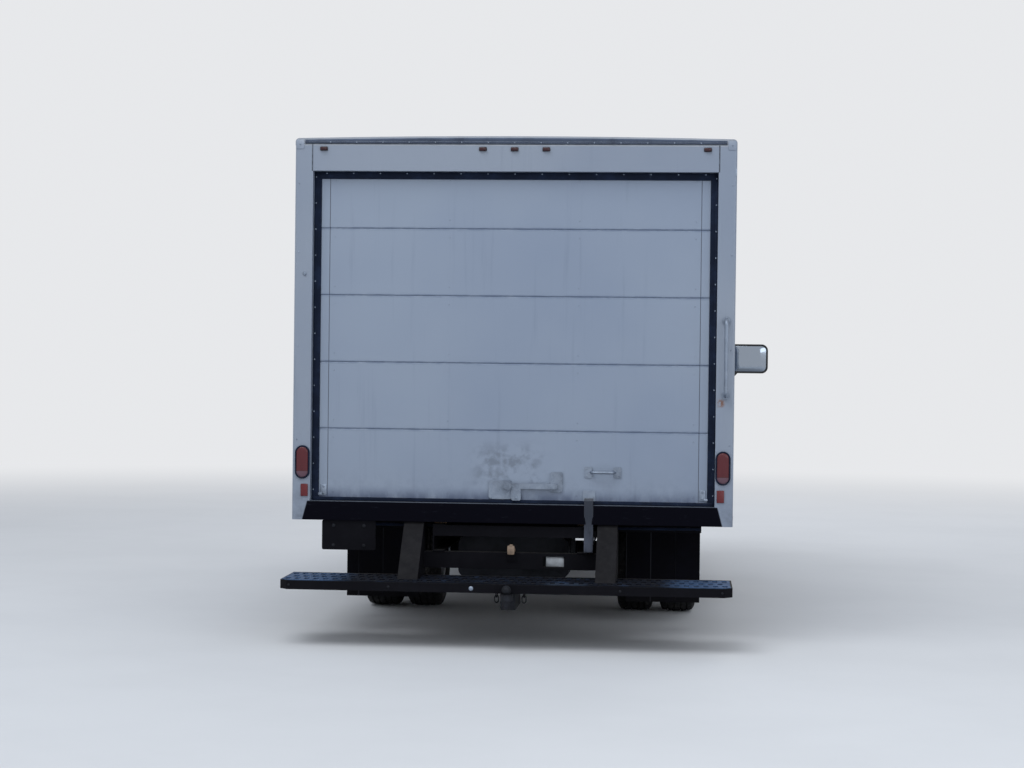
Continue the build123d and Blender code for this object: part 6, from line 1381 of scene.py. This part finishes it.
FLAP_BOLTS_X, FLAP_BOLT_Z = (-1.0, -0.8, -0.665, 0.665, 0.8, 1.0), 0.672
bm = bmesh.new()
heads(bm, bolt, "mudflaps", FLAP_BOLTS_X, (FLAP_BOLT_Z,), 0.007)
piece("flap_bolts", bm, sooty_steel)

# ---------------------------------------------------------------- floor, light and camera


def to_the_eye(tree):
    """1 on rays from the camera, and on those that a shiny or clear surface passes on."""
    rays = tree.nodes.new("ShaderNodeLightPath").outputs
    seen = rays["Is Camera Ray"]
    for kind in ("Is Glossy Ray", "Is Transmission Ray"):
        either = tree.nodes.new("ShaderNodeMath")
        either.operation = "MAXIMUM"
        seen = feed(either, {0: seen, 1: rays[kind]}).outputs[0]
    return seen


# The floor fades to the background's colour far out, so no edge shows
FLOOR_HALF, FADE_START, FADE_END = 60.0, 6.0, 17.0
ground = Finish("floor", (0.62, 0.63, 0.65), 0.85, soften=0.0)
ground.layer(ground.blotch(0.8, 0.35, 0.7, 5), (0.60, 0.61, 0.63), 0.9)
floor_finish = ground.made()
distance = ground.node("VectorMath", {0: ground.coordinates}, "LENGTH").outputs["Value"]
reach = ground.times(to_the_eye(ground.tree), ground.span(distance, FADE_START, FADE_END))
glow = ground.node("Emission", {"Color": BACKGROUND + (1.0,)})
fade = ground.node("MixShader", {0: reach, 1: ground.shader.outputs[0], 2: glow.outputs[0]})
feed(ground.tree.nodes["Material Output"], {"Surface": fade.outputs[0]})

bm = bmesh.new()
corners = [(a * FLOOR_HALF, b * FLOOR_HALF, 0.0) for a, b in ((-1, -1), (1, -1), (1, 1), (-1, 1))]
bm.faces.new([bm.verts.new(corner) for corner in corners])
floor_mesh = bpy.data.meshes.new("floor")
bm.to_mesh(floor_mesh)
bm.free()
floor_mesh.materials.append(floor_finish)
added("floor", floor_mesh)

world = bpy.data.worlds.new("studio")
world.use_nodes = True
tree = world.node_tree
soft = feed(tree.nodes["Background"], {"Color": (0.86, 0.92, 1.0, 1.0), "Strength": 0.62})
seen = feed(tree.nodes.new("ShaderNodeBackground"), {"Color": BACKGROUND + (1.0,), "Strength": 1.0})
choose = tree.nodes.new("ShaderNodeMixShader")
feed(choose, {0: to_the_eye(tree), 1: soft.outputs[0], 2: seen.outputs[0]})
feed(tree.nodes["World Output"], {"Surface": choose.outputs[0]})
bpy.context.scene.world = world


def softbox(name, location, target, size, power, color=(1, 1, 1)):
    """A soft rectangular light, aimed at a target."""
    lamp = bpy.data.lights.new(name, "AREA")
    lamp.shape = "RECTANGLE"
    lamp.size, lamp.size_y = size
    lamp.energy = power
    lamp.color = color
    made = added(name, lamp)
    made.location = location
    made.rotation_euler = (Vector(target) - Vector(location)).to_track_quat("-Z", "Y").to_euler()


# Soft light from over the rear left, with a fill from the right and a light on the front
softbox("key", (-3.0, -8.0, 11.0), (0, -1.5, 1.0), (9.0, 7.0), 760, (0.94, 0.97, 1.0))
softbox("fill", (7.0, -11.0, 4.5), (0, -1.0, 1.4), (7.0, 5.0), 230, (0.90, 0.95, 1.0))
softbox("front", (3.0, 9.0, 9.5), (0, 2.0, 1.0), (7.0, 5.0), 380)

# Camera at the photograph's place: behind, a little right of the middle, at chest height
CAMERA = Vector((0.946, REAR - 11.5, 1.553))
YAW, PITCH, ROLL = math.radians(4.70), math.radians(-0.65), math.radians(0.67)
FOCAL_PIXELS, IMAGE_WIDTH, SENSOR = 2096.0, 1024.0, 36.0
ahead = Vector((-math.sin(YAW) * math.cos(PITCH), math.cos(YAW) * math.cos(PITCH), math.sin(PITCH)))
right = Vector((math.cos(YAW), math.sin(YAW), 0.0))
above = right.cross(ahead)
rolled_right = right * math.cos(ROLL) + above * math.sin(ROLL)
rolled_above = above * math.cos(ROLL) - right * math.sin(ROLL)
view = Matrix((rolled_right, rolled_above, -ahead)).transposed().to_4x4()
view.translation = CAMERA
lens_data = bpy.data.cameras.new("photo")
lens_data.sensor_width = SENSOR
lens_data.lens = FOCAL_PIXELS / IMAGE_WIDTH * SENSOR
lens_data.clip_end = 200.0
camera = added("photo", lens_data)
camera.matrix_world = view
bpy.context.scene.camera = camera
bpy.context.scene.view_settings.view_transform = "Standard"
